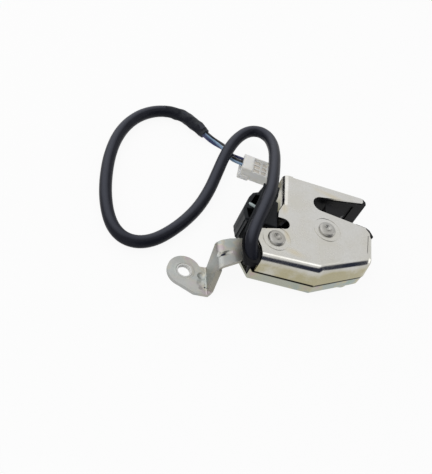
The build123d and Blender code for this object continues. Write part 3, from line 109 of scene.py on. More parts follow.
# each wire's points between the sleeve and the connector: shift across the row and height
WIRE_CROSSING = {
    "wire_light_blue": ((0.0, 1.9), (-0.60, 3.1), (-1.0, 2.2)),
    "wire_black": ((1.0, 1.3), (0.60, 3.1), (0.0, 1.8)),
    "wire_blue": ((-0.7, 1.1), (0.10, 0.95), (1.0, 1.8)),
}
WIRE_START = {"wire_light_blue": 0, "wire_black": 1, "wire_blue": -1}   # place in the sleeve's mouth

# Rolled lower edge of the front shell, in millimetres: corners at the plate's level and at the skirt's foot,
# how far out the bend's sharp corner would lie, and the bend's radius
PLATE_Z = 24.5
SKIRT_Z = 11.5
SKIRT = (
    ((-35.4, -48.9), (-35.4, -53.1), 3.9, 5.2),
    ((-0.9, -46.2), (0.575, -52.1), 3.6, 5.2),
    ((30.9, -31.3), (32.94, -34.7), 2.0, 4.6),
    ((32.9, -14.9), (33.51, -14.9), 0.05, 3.2),
)
SKIRT_CORNER = 6.0     # radius in plan of the lower right corner
SKIRT_V = 9.0          # and of the shallow corner in the middle
EDGE_PROUD = 0.03      # the bend stands over the frame's sheet by this much
EDGE_LAP = 2.6         # and laps inwards over the plate by this much
FOOT_PROUD = 0.06      # its foot stands out of the skirt
FOOT_THICK = 0.96
# heights in metres at which the painted shade in the joint's gap is full and ends, on the front shell and on the back
# plate
FRONT_JOINT_SHADE = (0.0117, 0.0121)
BACK_JOINT_SHADE = (0.0103, 0.0099)

# Dents pressed into the lever: middle, half sizes, turn in plan and weight
LEVER_DENTS = (
    ((-53.6, -49.7, 15.8), (4.4, 1.5, 3.0), 38.0, 1.0),
    ((-62.4, -62.6, 2.5), (3.8, 2.4, 3.0), 60.0, 0.5),
    ((-61.2, -66.4, 2.5), (2.6, 1.8, 3.0), 20.0, 0.5),
)
# and the painted shade in their creases: middle, half sizes and turn
LEVER_CREASE_SHADE = (
    ((-55.2, -51.2, 15.6), (2.3, 0.95, 3.0), 38.0),
    ((-60.2, -66.2, 2.5), (0.75, 0.65, 2.0), 0.0),
)

# Stains on the plate, and painted dark reflections along the ear's bend: middle, half sizes and turn
PLATE_STAINS = (
    ((-33.4, -28.6, 24.5), (5.0, 4.0, 4.0), 20.0),
    ((-16.9, -43.0, 24.5), (8.0, 3.2, 4.0), -10.0),
    ((-23.8, -12.5, 24.5), (3.4, 6.0, 4.0), 0.0),
    ((6.0, 9.0, 24.5), (16.0, 3.0, 4.0), -12.0),
    ((-21.5, -33.0, 24.5), (2.2, 6.5, 4.0), 15.0),
)
EAR_DARK_REFLECTIONS = (
    ((-24.3, -4.4, 23.7), (0.8, 3.4, 1.2), 0.0),
    ((-24.9, 6.0, 22.9), (0.45, 5.5, 0.9), 0.0),
)

# Eye of the release lever, and the profiles of (radius, height) of its turned-in rim and its bush
EYE = (-72.8, -58.2)
EYE_TOP = 2.5
RIM_PROFILE = (
    (4.5, 0.15), (4.5, EYE_TOP - 0.15), (4.75, EYE_TOP + 0.1), (5.6, EYE_TOP + 0.1), (6.0, EYE_TOP - 0.02),
    (5.3, EYE_TOP - 0.4), (5.3, 0.15),
)
BUSH_PROFILE = (
    (3.5, 0.1), (3.5, EYE_TOP - 0.5), (3.75, EYE_TOP - 0.1), (4.3, EYE_TOP), (4.5, EYE_TOP - 0.1), (4.5, 0.1),
)

# Floor of the switch housing and the pale lead that crosses the bar between its windows
HOUSING_FLOOR = [
    (-38.9, -3.9), (-42.2, -5.9), (-44.2, -9.4), (-46.9, -18.6), (-45.7, -25.0), (-28.2, -25.0), (-28.2, -8.3),
    (-33.8, -5.2),
]
HOUSING_FLOOR_Z = (9.6, 10.8)
BAR_LEAD = [(-44.6, -13.4, 21.2), (-44.0, -15.4, 23.2), (-41.6, -16.8, 23.5), (-38.6, -17.8, 23.3)]
BAR_LEAD_RADIUS = 0.00095   # in metres

# Studio: each lamp's place, size and share of the lamp power
LAMPS = (
    ("key_lamp", (-0.46, 0.60, 0.58), 1.2, 1.0),
    ("fill_lamp", (0.90, 0.10, 0.22), 0.45, 0.4),
    ("side_lamp", (-0.65, -0.15, 0.66), 0.9, 0.8),
    ("edge_lamp", (0.36, 0.06, 0.93), 0.32, 0.17),
)
# second dark opening of the light tent: direction, and the cosines at which it ends and is fully dark
SIDE_OPENING = (0.78, -0.36, 0.50)
SIDE_OPENING_EDGES = (0.87, 0.94)
OPENING_TONE = (0.030, 0.036, 0.060)
FLOOR_RADIUS = 6.0
PAPER_GLOW = 0.92      # share of plain white in the paper where it is looked at


# ---------------------------------------------------------------- settings
def colour(label, text, value):
    """A colour setting."""
    return bpy.props.FloatVectorProperty(
        name=label, description=text, subtype="COLOR", size=3, min=0.0, max=1.0, default=value
    )


class LatchLead(bpy.types.PropertyGroup):
    """Sizes of the lead."""

    sleeve: bpy.props.FloatProperty(
        name="Sleeve diameter", description="Outer diameter of the lead's sleeve",
        default=0.0074, min=0.004, unit="LENGTH",
    )
    wire: bpy.props.FloatProperty(
        name="Wire diameter", description="Outer diameter of each wire", default=0.0017, min=0.0008, unit="LENGTH",
    )


class LatchColours(bpy.types.PropertyGroup):
    """Colours of the finishes."""

    zinc: colour("Zinc", "Front shell's plating", (0.62, 0.617, 0.612))
    passivation: colour("Passivation", "Yellow cast of the plating", (0.40, 0.365, 0.235))
    back_zinc: colour("Back zinc", "Back plate's plating", (0.36, 0.38, 0.33))
    lever: colour("Lever zinc", "Release lever's plating", (0.43, 0.435, 0.425))
    rivet: colour("Rivet zinc", "Plating of the rivets", (0.42, 0.42, 0.41))
    plastic: colour("Black plastic", "Guide and gland", (0.006, 0.006, 0.007))
    housing: colour("Housing plastic", "Switch housing", (0.022, 0.024, 0.027))
    sleeve: colour("Sleeve", "Lead's sleeve", (0.015, 0.016, 0.023))
    nylon: colour("Nylon", "Lever's bush", (0.72, 0.72, 0.70))
    ivory: colour("Ivory nylon", "Connector", (0.93, 0.925, 0.90))


class LatchStudio(bpy.types.PropertyGroup):
    """Camera and lamps."""

    eye: bpy.props.FloatVectorProperty(
        name="Camera place", description="Where the camera stands", subtype="TRANSLATION", unit="LENGTH", size=3,
        default=(-0.13426, -0.29525, 0.31094),
    )
    aim: bpy.props.FloatVectorProperty(
        name="Camera turn", description="How the camera is turned", subtype="EULER", size=3,
        default=(math.radians(38.4575), math.radians(-18.2823), math.radians(5.4170)),
    )
    lens: bpy.props.FloatProperty(
        name="Focal length", description="Focal length of the camera in millimetres", default=54.23, min=10.0
    )
    lamp: bpy.props.FloatProperty(
        name="Lamp power", description="Power of the key lamp, of which the others have a share", default=2.0,
        unit="POWER",
    )
    sky: bpy.props.FloatProperty(name="Surround", description="Strength of the surround", default=0.58, min=0.0)
    opening: bpy.props.FloatVectorProperty(
        name="Opening", description="Direction of the light tent's main dark opening", subtype="DIRECTION", size=3,
        default=(0.55, -0.70, 0.45),
    )
    narrow: bpy.props.FloatProperty(
        name="Opening edge", description="Cosine of the angle at which the opening is fully dark", default=0.925,
    )
    wide: bpy.props.FloatProperty(
        name="Opening fringe", description="Cosine of the angle at which the opening ends", default=0.855,
    )


# ---------------------------------------------------------------- shader helpers
def link(tree, source, target):
    """Join two sockets."""
    tree.links.new(source, target)


def new_group(name, inputs, outputs):
    """A shader node group with named sockets; returns its tree and its two end nodes."""
    tree = bpy.data.node_groups.new(name, "ShaderNodeTree")
    for label, kind, default in inputs:
        socket = tree.interface.new_socket(label, in_out="INPUT", socket_type=kind)
        if default is not None:
            socket.default_value = default
    for label, kind in outputs:
        tree.interface.new_socket(label, in_out="OUTPUT", socket_type=kind)
    return tree, tree.nodes.new("NodeGroupInput"), tree.nodes.new("NodeGroupOutput")


def noise(tree, vector, scale, detail=4.0, rough=0.55):
    """Noise texture on a vector."""
    node = tree.nodes.new("ShaderNodeTexNoise")
    node.inputs["Detail"].default_value = detail
    node.inputs["Roughness"].default_value = rough
    if isinstance(scale, float):
        node.inputs["Scale"].default_value = scale
    else:
        link(tree, scale, node.inputs["Scale"])
    link(tree, vector, node.inputs["Vector"])
    return node.outputs["Fac"]


def remap(tree, value, low, high, to_low=0.0, to_high=1.0):
    """Stretch a value from one range to another."""
    node = tree.nodes.new("ShaderNodeMapRange")
    link(tree, value, node.inputs["Value"])
    for label, item in (("From Min", low), ("From Max", high), ("To Min", to_low), ("To Max", to_high)):
        if isinstance(item, (int, float)):
            node.inputs[label].default_value = item
        else:
            link(tree, item, node.inputs[label])
    return node.outputs["Result"]


def blend(tree, factor, first, second):
    """Mix two colours."""
    node = tree.nodes.new("ShaderNodeMix")
    node.data_type = "RGBA"
    link(tree, factor, node.inputs["Factor"])
    for index, item in ((6, first), (7, second)):
        if isinstance(item, tuple):
            node.inputs[index].default_value = (*item[:3], 1.0)
        else:
            link(tree, item, node.inputs[index])
    return node.outputs[2]


def calculate(tree, operation, *items, clamp=False):
    """Result of a math node on numbers and sockets."""
    node = tree.nodes.new("ShaderNodeMath")
    node.operation = operation
    node.use_clamp = clamp
    for socket, item in zip(node.inputs, items):
        if isinstance(item, (int, float)):
            socket.default_value = item
        else:
            link(tree, item, socket)
    return node.outputs[0]


def object_place(tree):
    """Place on the piece, in its Object coordinates."""
    return tree.nodes.new("ShaderNodeTexCoord").outputs["Object"]


def coordinate(tree, axis):
    """One Object coordinate of the place on the piece."""
    parts = tree.nodes.new("ShaderNodeSeparateXYZ")
    link(tree, object_place(tree), parts.inputs[0])
    return parts.outputs[axis]


def alignment(tree, vector, direction):
    """Cosine of the angle between a unit vector and a direction."""
    node = tree.nodes.new("ShaderNodeVectorMath")
    node.operation = "DOT_PRODUCT"
    node.inputs[1].default_value = Vector(direction).normalized()
    link(tree, vector, node.inputs[0])
    return node.outputs["Value"]


def looked_at(tree):
    """1 for the camera's rays and for reflections."""
    rays = tree.nodes.new("ShaderNodeLightPath")
    return calculate(tree, "ADD", rays.outputs["Is Camera Ray"], rays.outputs["Is Glossy Ray"], clamp=True)


def relief(tree, height, strength, distance):
    """Normal of a surface with that height; the strength is a socket."""
    node = tree.nodes.new("ShaderNodeBump")
    node.inputs["Distance"].default_value = distance
    link(tree, strength, node.inputs["Strength"])
    link(tree, height, node.inputs["Height"])
    return node.outputs["Normal"]


def plating_group():
    """Zinc plating: clouded colour, faint drawing lines and uneven roughness."""
    tree, start, end = new_group(
        "zinc_plating",
        [("Vector", "NodeSocketVector", None), ("Zinc", "NodeSocketColor", (0.8, 0.8, 0.77, 1)),
         ("Cast", "NodeSocketColor", (0.6, 0.56, 0.38, 1)), ("Cast Amount", "NodeSocketFloat", 0.4),
         ("Roughness", "NodeSocketFloat", 0.3), ("Bump", "NodeSocketFloat", 0.05)],
        [("Color", "NodeSocketColor"), ("Roughness", "NodeSocketFloat"), ("Normal", "NodeSocketVector")],
    )
    vector = start.outputs["Vector"]
    cloud = noise(tree, vector, 55.0, 5.0, 0.6)
    fine = noise(tree, vector, 900.0, 3.0, 0.6)
    stretch = tree.nodes.new("ShaderNodeMapping")
    stretch.inputs["Scale"].default_value = (60.0, 1100.0, 60.0)
    link(tree, vector, stretch.inputs["Vector"])
    lines = noise(tree, stretch.outputs["Vector"], 1.0, 3.0, 0.5)
    amount = calculate(tree, "MULTIPLY", remap(tree, cloud, 0.36, 0.66, 0.35, 1.0), start.outputs["Cast Amount"])
    tint = blend(tree, amount, start.outputs["Zinc"], start.outputs["Cast"])
    dust = blend(tree, remap(tree, fine, 0.35, 0.75, 0.0, 0.16), tint, (0.30, 0.30, 0.28))
    link(tree, dust, end.inputs["Color"])
    rough = calculate(tree, "ADD", remap(tree, cloud, 0.3, 0.7, -0.06, 0.10), start.outputs["Roughness"])
    link(tree, rough, end.inputs["Roughness"])
    height = calculate(tree, "ADD", lines, fine)
    link(tree, relief(tree, height, start.outputs["Bump"], 0.0002), end.inputs["Normal"])
    return tree


def moulding_group():
    """Moulded plastic: fine grain, slight colour drift and handling shine."""
    tree, start, end = new_group(
        "moulded_grain",
        [("Vector", "NodeSocketVector", None), ("Tone", "NodeSocketColor", (0.1, 0.1, 0.1, 1)),
         ("Worn Tone", "NodeSocketColor", (0.2, 0.2, 0.2, 1)), ("Wear", "NodeSocketFloat", 0.2),
         ("Grain", "NodeSocketFloat", 1400.0), ("Roughness", "NodeSocketFloat", 0.5), ("Bump", "NodeSocketFloat", 0.1)],
        [("Color", "NodeSocketColor"), ("Roughness", "NodeSocketFloat"), ("Normal", "NodeSocketVector")],
    )
    vector = start.outputs["Vector"]
    drift = noise(tree, vector, 120.0, 4.0, 0.6)
    grain = noise(tree, vector, start.outputs["Grain"], 2.0, 0.5)
    amount = calculate(tree, "MULTIPLY", remap(tree, drift, 0.45, 0.70), start.outputs["Wear"])
    link(tree, blend(tree, amount, start.outputs["Tone"], start.outputs["Worn Tone"]), end.inputs["Color"])
    rough = calculate(tree, "ADD", remap(tree, drift, 0.3, 0.7, -0.08, 0.08), start.outputs["Roughness"])
    link(tree, rough, end.inputs["Roughness"])
    link(tree, relief(tree, grain, start.outputs["Bump"], 0.0001), end.inputs["Normal"])
    return tree


def bloom_group():
    """Iridescent film of a passivated plating, in drifting pink and green patches."""
    tree, start, end = new_group(
        "passivation_bloom",
        [("Vector", "NodeSocketVector", None), ("Base", "NodeSocketColor", (0.5, 0.5, 0.5, 1)),
         ("Scale", "NodeSocketFloat", 70.0), ("Amount", "NodeSocketFloat", 0.4)],
        [("Color", "NodeSocketColor")],
    )
    vector = start.outputs["Vector"]
    hue = tree.nodes.new("ShaderNodeValToRGB")
    hue.color_ramp.elements[0].position = 0.36
    hue.color_ramp.elements[0].color = (0.24, 0.34, 0.25, 1.0)
    hue.color_ramp.elements[1].position = 0.66
    hue.color_ramp.elements[1].color = (0.44, 0.27, 0.33, 1.0)
    for position, value in ((0.46, (0.30, 0.36, 0.36, 1.0)), (0.56, (0.46, 0.42, 0.24, 1.0))):
        hue.color_ramp.elements.new(position).color = value
    link(tree, noise(tree, vector, start.outputs["Scale"], 3.0, 0.5), hue.inputs["Fac"])
    shift = tree.nodes.new("ShaderNodeVectorMath")
    shift.operation = "ADD"
    shift.inputs[1].default_value = (0.31, 0.17, 0.05)
    link(tree, vector, shift.inputs[0])
    patches = remap(tree, noise(tree, shift.outputs["Vector"], 45.0, 4.0, 0.6), 0.38, 0.62)
    amount = calculate(tree, "MULTIPLY", patches, start.outputs["Amount"])
    link(tree, blend(tree, amount, start.outputs["Base"], hue.outputs["Color"]), end.inputs["Color"])
    return tree


GROUPS = {}


def group(name):
    """The shared effect of that name, built at its first use."""
    if name not in GROUPS:
        GROUPS[name] = {"plating": plating_group, "moulding": moulding_group, "bloom": bloom_group}[name]()
    return GROUPS[name]


def finish(name, effect, colours, values, metallic=0.0, specular=0.5, see_through=0.0):
    """A material whose colour, roughness and normal come from one shared effect."""
    material = bpy.data.materials.new(name)
    material.use_nodes = True
    tree = material.node_tree
    shader = tree.nodes["Principled BSDF"]
    shader.inputs["Metallic"].default_value = metallic
    shader.inputs["Specular IOR Level"].default_value = specular
    shader.inputs["Subsurface Weight"].default_value = see_through
    shader.inputs["Subsurface Radius"].default_value = (1.0, 0.95, 0.85)
    shader.inputs["Subsurface Scale"].default_value = 0.002
    surface = tree.nodes.new("ShaderNodeGroup")
    surface.name = "surface"
    surface.node_tree = group(effect)
    link(tree, object_place(tree), surface.inputs["Vector"])
    for label, value in colours.items():
        surface.inputs[label].default_value = (*value, 1.0)
    for label, value in values.items():
        surface.inputs[label].default_value = value
    link(tree, surface.outputs["Color"], shader.inputs["Base Color"])
    link(tree, surface.outputs["Roughness"], shader.inputs["Roughness"])
    link(tree, surface.outputs["Normal"], shader.inputs["Normal"])
    return material


def add_bloom(material, scale, amount):
    """Lay the iridescent film over a plated finish."""
    tree = material.node_tree
    film = tree.nodes.new("ShaderNodeGroup")
    film.node_tree = group("bloom")
    film.inputs["Scale"].default_value = scale
    film.inputs["Amount"].default_value = amount
    link(tree, object_place(tree), film.inputs["Vector"])
    link(tree, tree.nodes["surface"].outputs["Color"], film.inputs["Base"])
    link(tree, film.outputs["Color"], tree.nodes["Principled BSDF"].inputs["Base Color"])


def add_cast_and_painted_reflection_by_height(material, low, high, least, most):
    """Let the yellow cast of a plated finish grow from one height down to another: partly the plating's real cast,
    partly a painted reflection, the stronger yellow that the lower faces show in grazing light.
    """
    tree = material.node_tree
    amount = remap(tree, coordinate(tree, "Z"), low, high, most, least)
    link(tree, amount, tree.nodes["surface"].inputs["Cast Amount"])


def spot(tree, centre, size, turn):
    """Mask of one soft spot, placed in millimetres and turned in plan: 1 in its middle, 0 outside."""
    local = tree.nodes.new("ShaderNodeMapping")
    local.vector_type = "TEXTURE"
    local.inputs["Location"].default_value = tuple(value * MM for value in centre)
    local.inputs["Rotation"].default_value = (0.0, 0.0, math.radians(turn))
    local.inputs["Scale"].default_value = tuple(value * MM for value in size)
    link(tree, object_place(tree), local.inputs["Vector"])
    length = tree.nodes.new("ShaderNodeVectorMath")
    length.operation = "LENGTH"
    link(tree, local.outputs["Vector"], length.inputs[0])
    return remap(tree, length.outputs["Value"], 1.0, 0.0)


def add_dents(material, dents, depth):
    """Press dents of (centre, size, turn, weight) into a finish."""
    tree = material.node_tree
    height = 0.0
    for centre, size, turn, weight in dents:
        height = calculate(tree, "MULTIPLY_ADD", spot(tree, centre, size, turn), weight, height)
    bump = tree.nodes.new("ShaderNodeBump")
    bump.inputs["Strength"].default_value = 1.0
    bump.inputs["Distance"].default_value = depth
    bump.invert = True
    link(tree, height, bump.inputs["Height"])
    link(tree, tree.nodes["surface"].outputs["Normal"], bump.inputs["Normal"])
    link(tree, bump.outputs["Normal"], tree.nodes["Principled BSDF"].inputs["Normal"])


def lay_tone(material, mask, tone):
    """Lay a tone over a finish where a mask is 1."""
    tree = material.node_tree
    base = tree.nodes["Principled BSDF"].inputs["Base Color"]
    link(tree, blend(tree, mask, base.links[0].from_socket, tone), base)


def add_joint_shade(material, full, clear):
    """Paint shade on the sheet's edge along the joint between the two flanges, where their gap lies in shadow, by
    height in metres.
    """
    tree = material.node_tree
    # painted shade: near-black on the sheet's edge where the gap between the flanges lies in shadow
    lay_tone(material, remap(tree, coordinate(tree, "Z"), clear, full), (0.012, 0.010, 0.008))


def facing(tree, direction, low, high):
    """Mask of the faces that look one way."""
    normal = tree.nodes.new("ShaderNodeNewGeometry").outputs["Normal"]
    return remap(tree, alignment(tree, normal, direction), low, high)


def add_painted_sheen(material, direction, low, high, tone):
    """Painted sheen: a lighter tone on the side of a piece that faces one way, where the light falls on it."""
    lay_tone(material, facing(material.node_tree, direction, low, high), tone)


def add_cut_edge(material, directions, tone):
    """Dull bare metal on the sheared edges that face some ways."""
    tree = material.node_tree
    metal = tree.nodes["Principled BSDF"].inputs["Metallic"]
    sheared = 0.0
    for direction in directions:
        mask = facing(tree, direction, 0.82, 0.93)
        lay_tone(material, mask, tone)
        sheared = calculate(tree, "MAXIMUM", sheared, mask)
    link(tree, remap(tree, sheared, 0.0, 1.0, metal.default_value, 0.1), metal)


def add_stains_and_painted_shade(material, marks, tone, full=0.45, strength=1.0):
    """Stains, and painted shade and dark reflections in creases and bends, with a soft edge."""
    tree = material.node_tree
    for centre, size, turn in marks:
        lay_tone(material, remap(tree, spot(tree, centre, size, turn), 0.08, full, 0.0, strength), tone)


def dress(names, material):
    """Put one material on the named nodes."""
    for name in names:
        for slot in NODES[name].material_slots:
            slot.material = material


# ---------------------------------------------------------------- curves
def route_curve(name, points, radius, material):
    """Round cord on one smooth open spline, its ends closed."""
    data = bpy.data.curves.new(name, "CURVE")
    data.dimensions = "3D"
    data.resolution_u = 8
    data.bevel_depth = radius
    data.bevel_resolution = 6
    data.use_fill_caps = radius > 0
    spline = data.splines.new("NURBS")
    spline.points.add(len(points) - 1)
    for point, place in zip(spline.points, points):
        point.co = (place[0] * MM, place[1] * MM, place[2] * MM, 1.0)
    spline.order_u = 3
    spline.use_endpoint_u = True
    if material:
        data.materials.append(material)
    piece = bpy.data.objects.new(name, data)
    bpy.context.collection.objects.link(piece)
    return piece


def connector_place(depth, across, height):
    """Place in metres from the connector's own depth, width and height in millimetres."""
    x = CONNECTOR[0] + depth * math.cos(CONNECTOR_TURN) - across * math.sin(CONNECTOR_TURN)
    y = CONNECTOR[1] + depth * math.sin(CONNECTOR_TURN) + across * math.cos(CONNECTOR_TURN)
    return Vector((x, y, height)) * MM


def wire_route(node, seat):
    """Points of one wire, from the sleeve's end to its seat in the connector."""
    end = Vector(SLEEVE_ROUTE[-1])
    heading = (end - Vector(SLEEVE_ROUTE[-2])).normalized()
    side = Vector((-heading.y, heading.x, 0.0))
    start = end + side * (WIRE_START[node] * WIRE_SPREAD)
    points = [tuple(start), tuple(start + heading * WIRE_STRAIGHT)]
    for (x, y), (shift, z) in zip(WIRE_MIDDLE, WIRE_CROSSING[node]):
        points.append((x + shift * WIRE_FAN[0], y + shift * WIRE_FAN[1], z))
    for depth in WIRE_ENTRY:
        points.append(tuple(connector_place(depth, WIRE_ENTRY_Y + seat * WIRE_PITCH, WIRE_ENTRY_Z) / MM))
    return points


def spline_points(points):
    """Places along the smooth line of a route, in metres."""
    line = route_curve("line", points, 0.0, None)
    mesh = bpy.data.meshes.new_from_object(line)
    places = [vertex.co.copy() for vertex in mesh.vertices]
    data = line.data
    bpy.data.objects.remove(line)
    bpy.data.curves.remove(data)
    bpy.data.meshes.remove(mesh)
    return places


# ---------------------------------------------------------------- meshes
def new_piece(name, shape, material, body="lock_body", angle=40.0):
    """Turn a bmesh in metres into a smooth-shaded piece that rides on a body."""
    shape.normal_update()
    mesh = bpy.data.meshes.new(name)
    shape.to_mesh(mesh)
    shape.free()
    mesh.materials.append(material)
    piece = bpy.data.objects.new(name, mesh)
    bpy.context.collection.objects.link(piece)
    bpy.ops.object.select_all(action="DESELECT")
    piece.select_set(True)
    bpy.context.view_layer.objects.active = piece
    bpy.ops.object.shade_smooth_by_angle(angle=math.radians(angle))
    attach(piece, body)
    return piece


def tube_mesh(rings, closed_ends=True):
    """Bmesh of quads between like rings of places, its ends closed."""
    shape = bmesh.new()
    loops = [[shape.verts.new(place) for place in ring] for ring in rings]
    count = len(loops[0])
    for low, high in zip(loops, loops[1:]):
        for index in range(count):
            after = (index + 1) % count
            shape.faces.new((low[index], low[after], high[after], high[index]))
    if closed_ends:
        shape.faces.new(loops[0])
        shape.faces.new(loops[-1])
    bmesh.ops.recalc_face_normals(shape, faces=shape.faces)
    return shape


def turned(centre, section, count=64):
    """Bmesh of a closed section of (radius, height) millimetres turned round a vertical axis."""
    rings = []
    for step in range(count):
        angle = math.tau * step / count
        rings.append([
            Vector((centre[0] + radius * math.cos(angle), centre[1] + radius * math.sin(angle), height)) * MM
            for radius, height in section
        ])
    shape = tube_mesh(rings + [rings[0]], closed_ends=False)
    bmesh.ops.remove_doubles(shape, verts=shape.verts, dist=1e-7)
    bmesh.ops.recalc_face_normals(shape, faces=shape.faces)
    return shape


def rounded_line(corners, radii, steps=7):
    """Plan line through corners with each inner corner rounded; gives (place, share) along each leg."""
    line = [(Vector(corners[0]), 0.0)]
    for index in range(1, len(corners) - 1):
        before, here, after = (Vector(corners[index + step]) for step in (-1, 0, 1))
        into, out = (here - before).normalized(), (after - here).normalized()
        turn = into.angle(out)
        cut = min(radii[index] * math.tan(turn / 2), 0.45 * (here - before).length, 0.45 * (after - here).length)
        for step in range(steps + 1):
            share = step / steps
            first, second = here - into * cut * (1 - share), here + out * cut * share
            line.append((first.lerp(second, share), index - 0.5 + share))
    line.append((Vector(corners[-1]), len(corners) - 1.0))
    return line


# ---------------------------------------------------------------- operators
class LATCH_OT_stage(bpy.types.Operator):
    """Camera, floor, lamps and surround"""

    bl_idname = "latch.stage"
    bl_label = "Studio"

    def execute(self, context):
        studio = context.scene.latch_studio
        scene = context.scene
        scene.view_settings.view_transform = "Standard"
        camera_data = bpy.data.cameras.new("camera")
        camera_data.lens = studio.lens
        camera_data.clip_start = 0.01
        camera = bpy.data.objects.new("camera", camera_data)
        camera.location = studio.eye
        camera.rotation_euler = studio.aim
        scene.collection.objects.link(camera)
        scene.camera = camera

        bpy.ops.object.select_all(action="DESELECT")
        bpy.ops.mesh.primitive_circle_add(
            vertices=64, radius=FLOOR_RADIUS, fill_type="NGON", location=(0.0, 0.0, CAD_BOX[0][2])
        )
        floor = context.object
        floor.name = "floor"
        floor.data.materials.append(self.paper())

        for name, place, size, share in LAMPS:
            lamp_data = bpy.data.lights.new(name, "AREA")
            lamp_data.size = size
            lamp_data.energy = studio.lamp * share
            lamp = bpy.data.objects.new(name, lamp_data)
            lamp.location = place
            lamp.rotation_euler = (-Vector(place)).to_track_quat("-Z", "Y").to_euler()
            scene.collection.objects.link(lamp)

        scene.world = self.tent(studio)
        return {"FINISHED"}

    def tent(self, studio):
        """White light tent with two dark openings, which only reflections and diffuse light meet."""
        world = bpy.data.worlds.new("light_tent")
        world.use_nodes = True
        tree = world.node_tree
        back = tree.nodes["Background"]
        heading = tree.nodes.new("ShaderNodeTexCoord").outputs["Generated"]
        front = remap(tree, alignment(tree, heading, studio.opening), studio.wide, studio.narrow)
        side = remap(tree, alignment(tree, heading, SIDE_OPENING), *SIDE_OPENING_EDGES)
        rays = tree.nodes.new("ShaderNodeLightPath")
        unseen = remap(tree, rays.outputs["Is Camera Ray"], 0.0, 1.0, 1.0, 0.0)
        dark = calculate(tree, "MULTIPLY", calculate(tree, "MAXIMUM", front, side), unseen)
        link(tree, blend(tree, dark, (1.0, 1.0, 1.0), OPENING_TONE), back.inputs["Color"])
        link(tree, remap(tree, looked_at(tree), 0.0, 1.0, studio.sky, 1.0), back.inputs["Strength"])
        return world

    def paper(self):
        """White paper that keeps a faint shadow."""
        material = bpy.data.materials.new("paper")
        material.use_nodes = True
        tree = material.node_tree
        shader = tree.nodes["Principled BSDF"]
        shader.inputs["Base Color"].default_value = (0.9, 0.9, 0.9, 1.0)
        shader.inputs["Roughness"].default_value = 0.9
        shader.inputs["Specular IOR Level"].default_value = 0.0
        glow = tree.nodes.new("ShaderNodeEmission")
        glow.inputs["Strength"].default_value = 1.0
        mix = tree.nodes.new("ShaderNodeMixShader")
        link(tree, calculate(tree, "MULTIPLY", looked_at(tree), PAPER_GLOW), mix.inputs["Fac"])
        link(tree, shader.outputs[0], mix.inputs[1])
        link(tree, glow.outputs[0], mix.inputs[2])
        link(tree, mix.outputs[0], tree.nodes["Material Output"].inputs["Surface"])
        return material


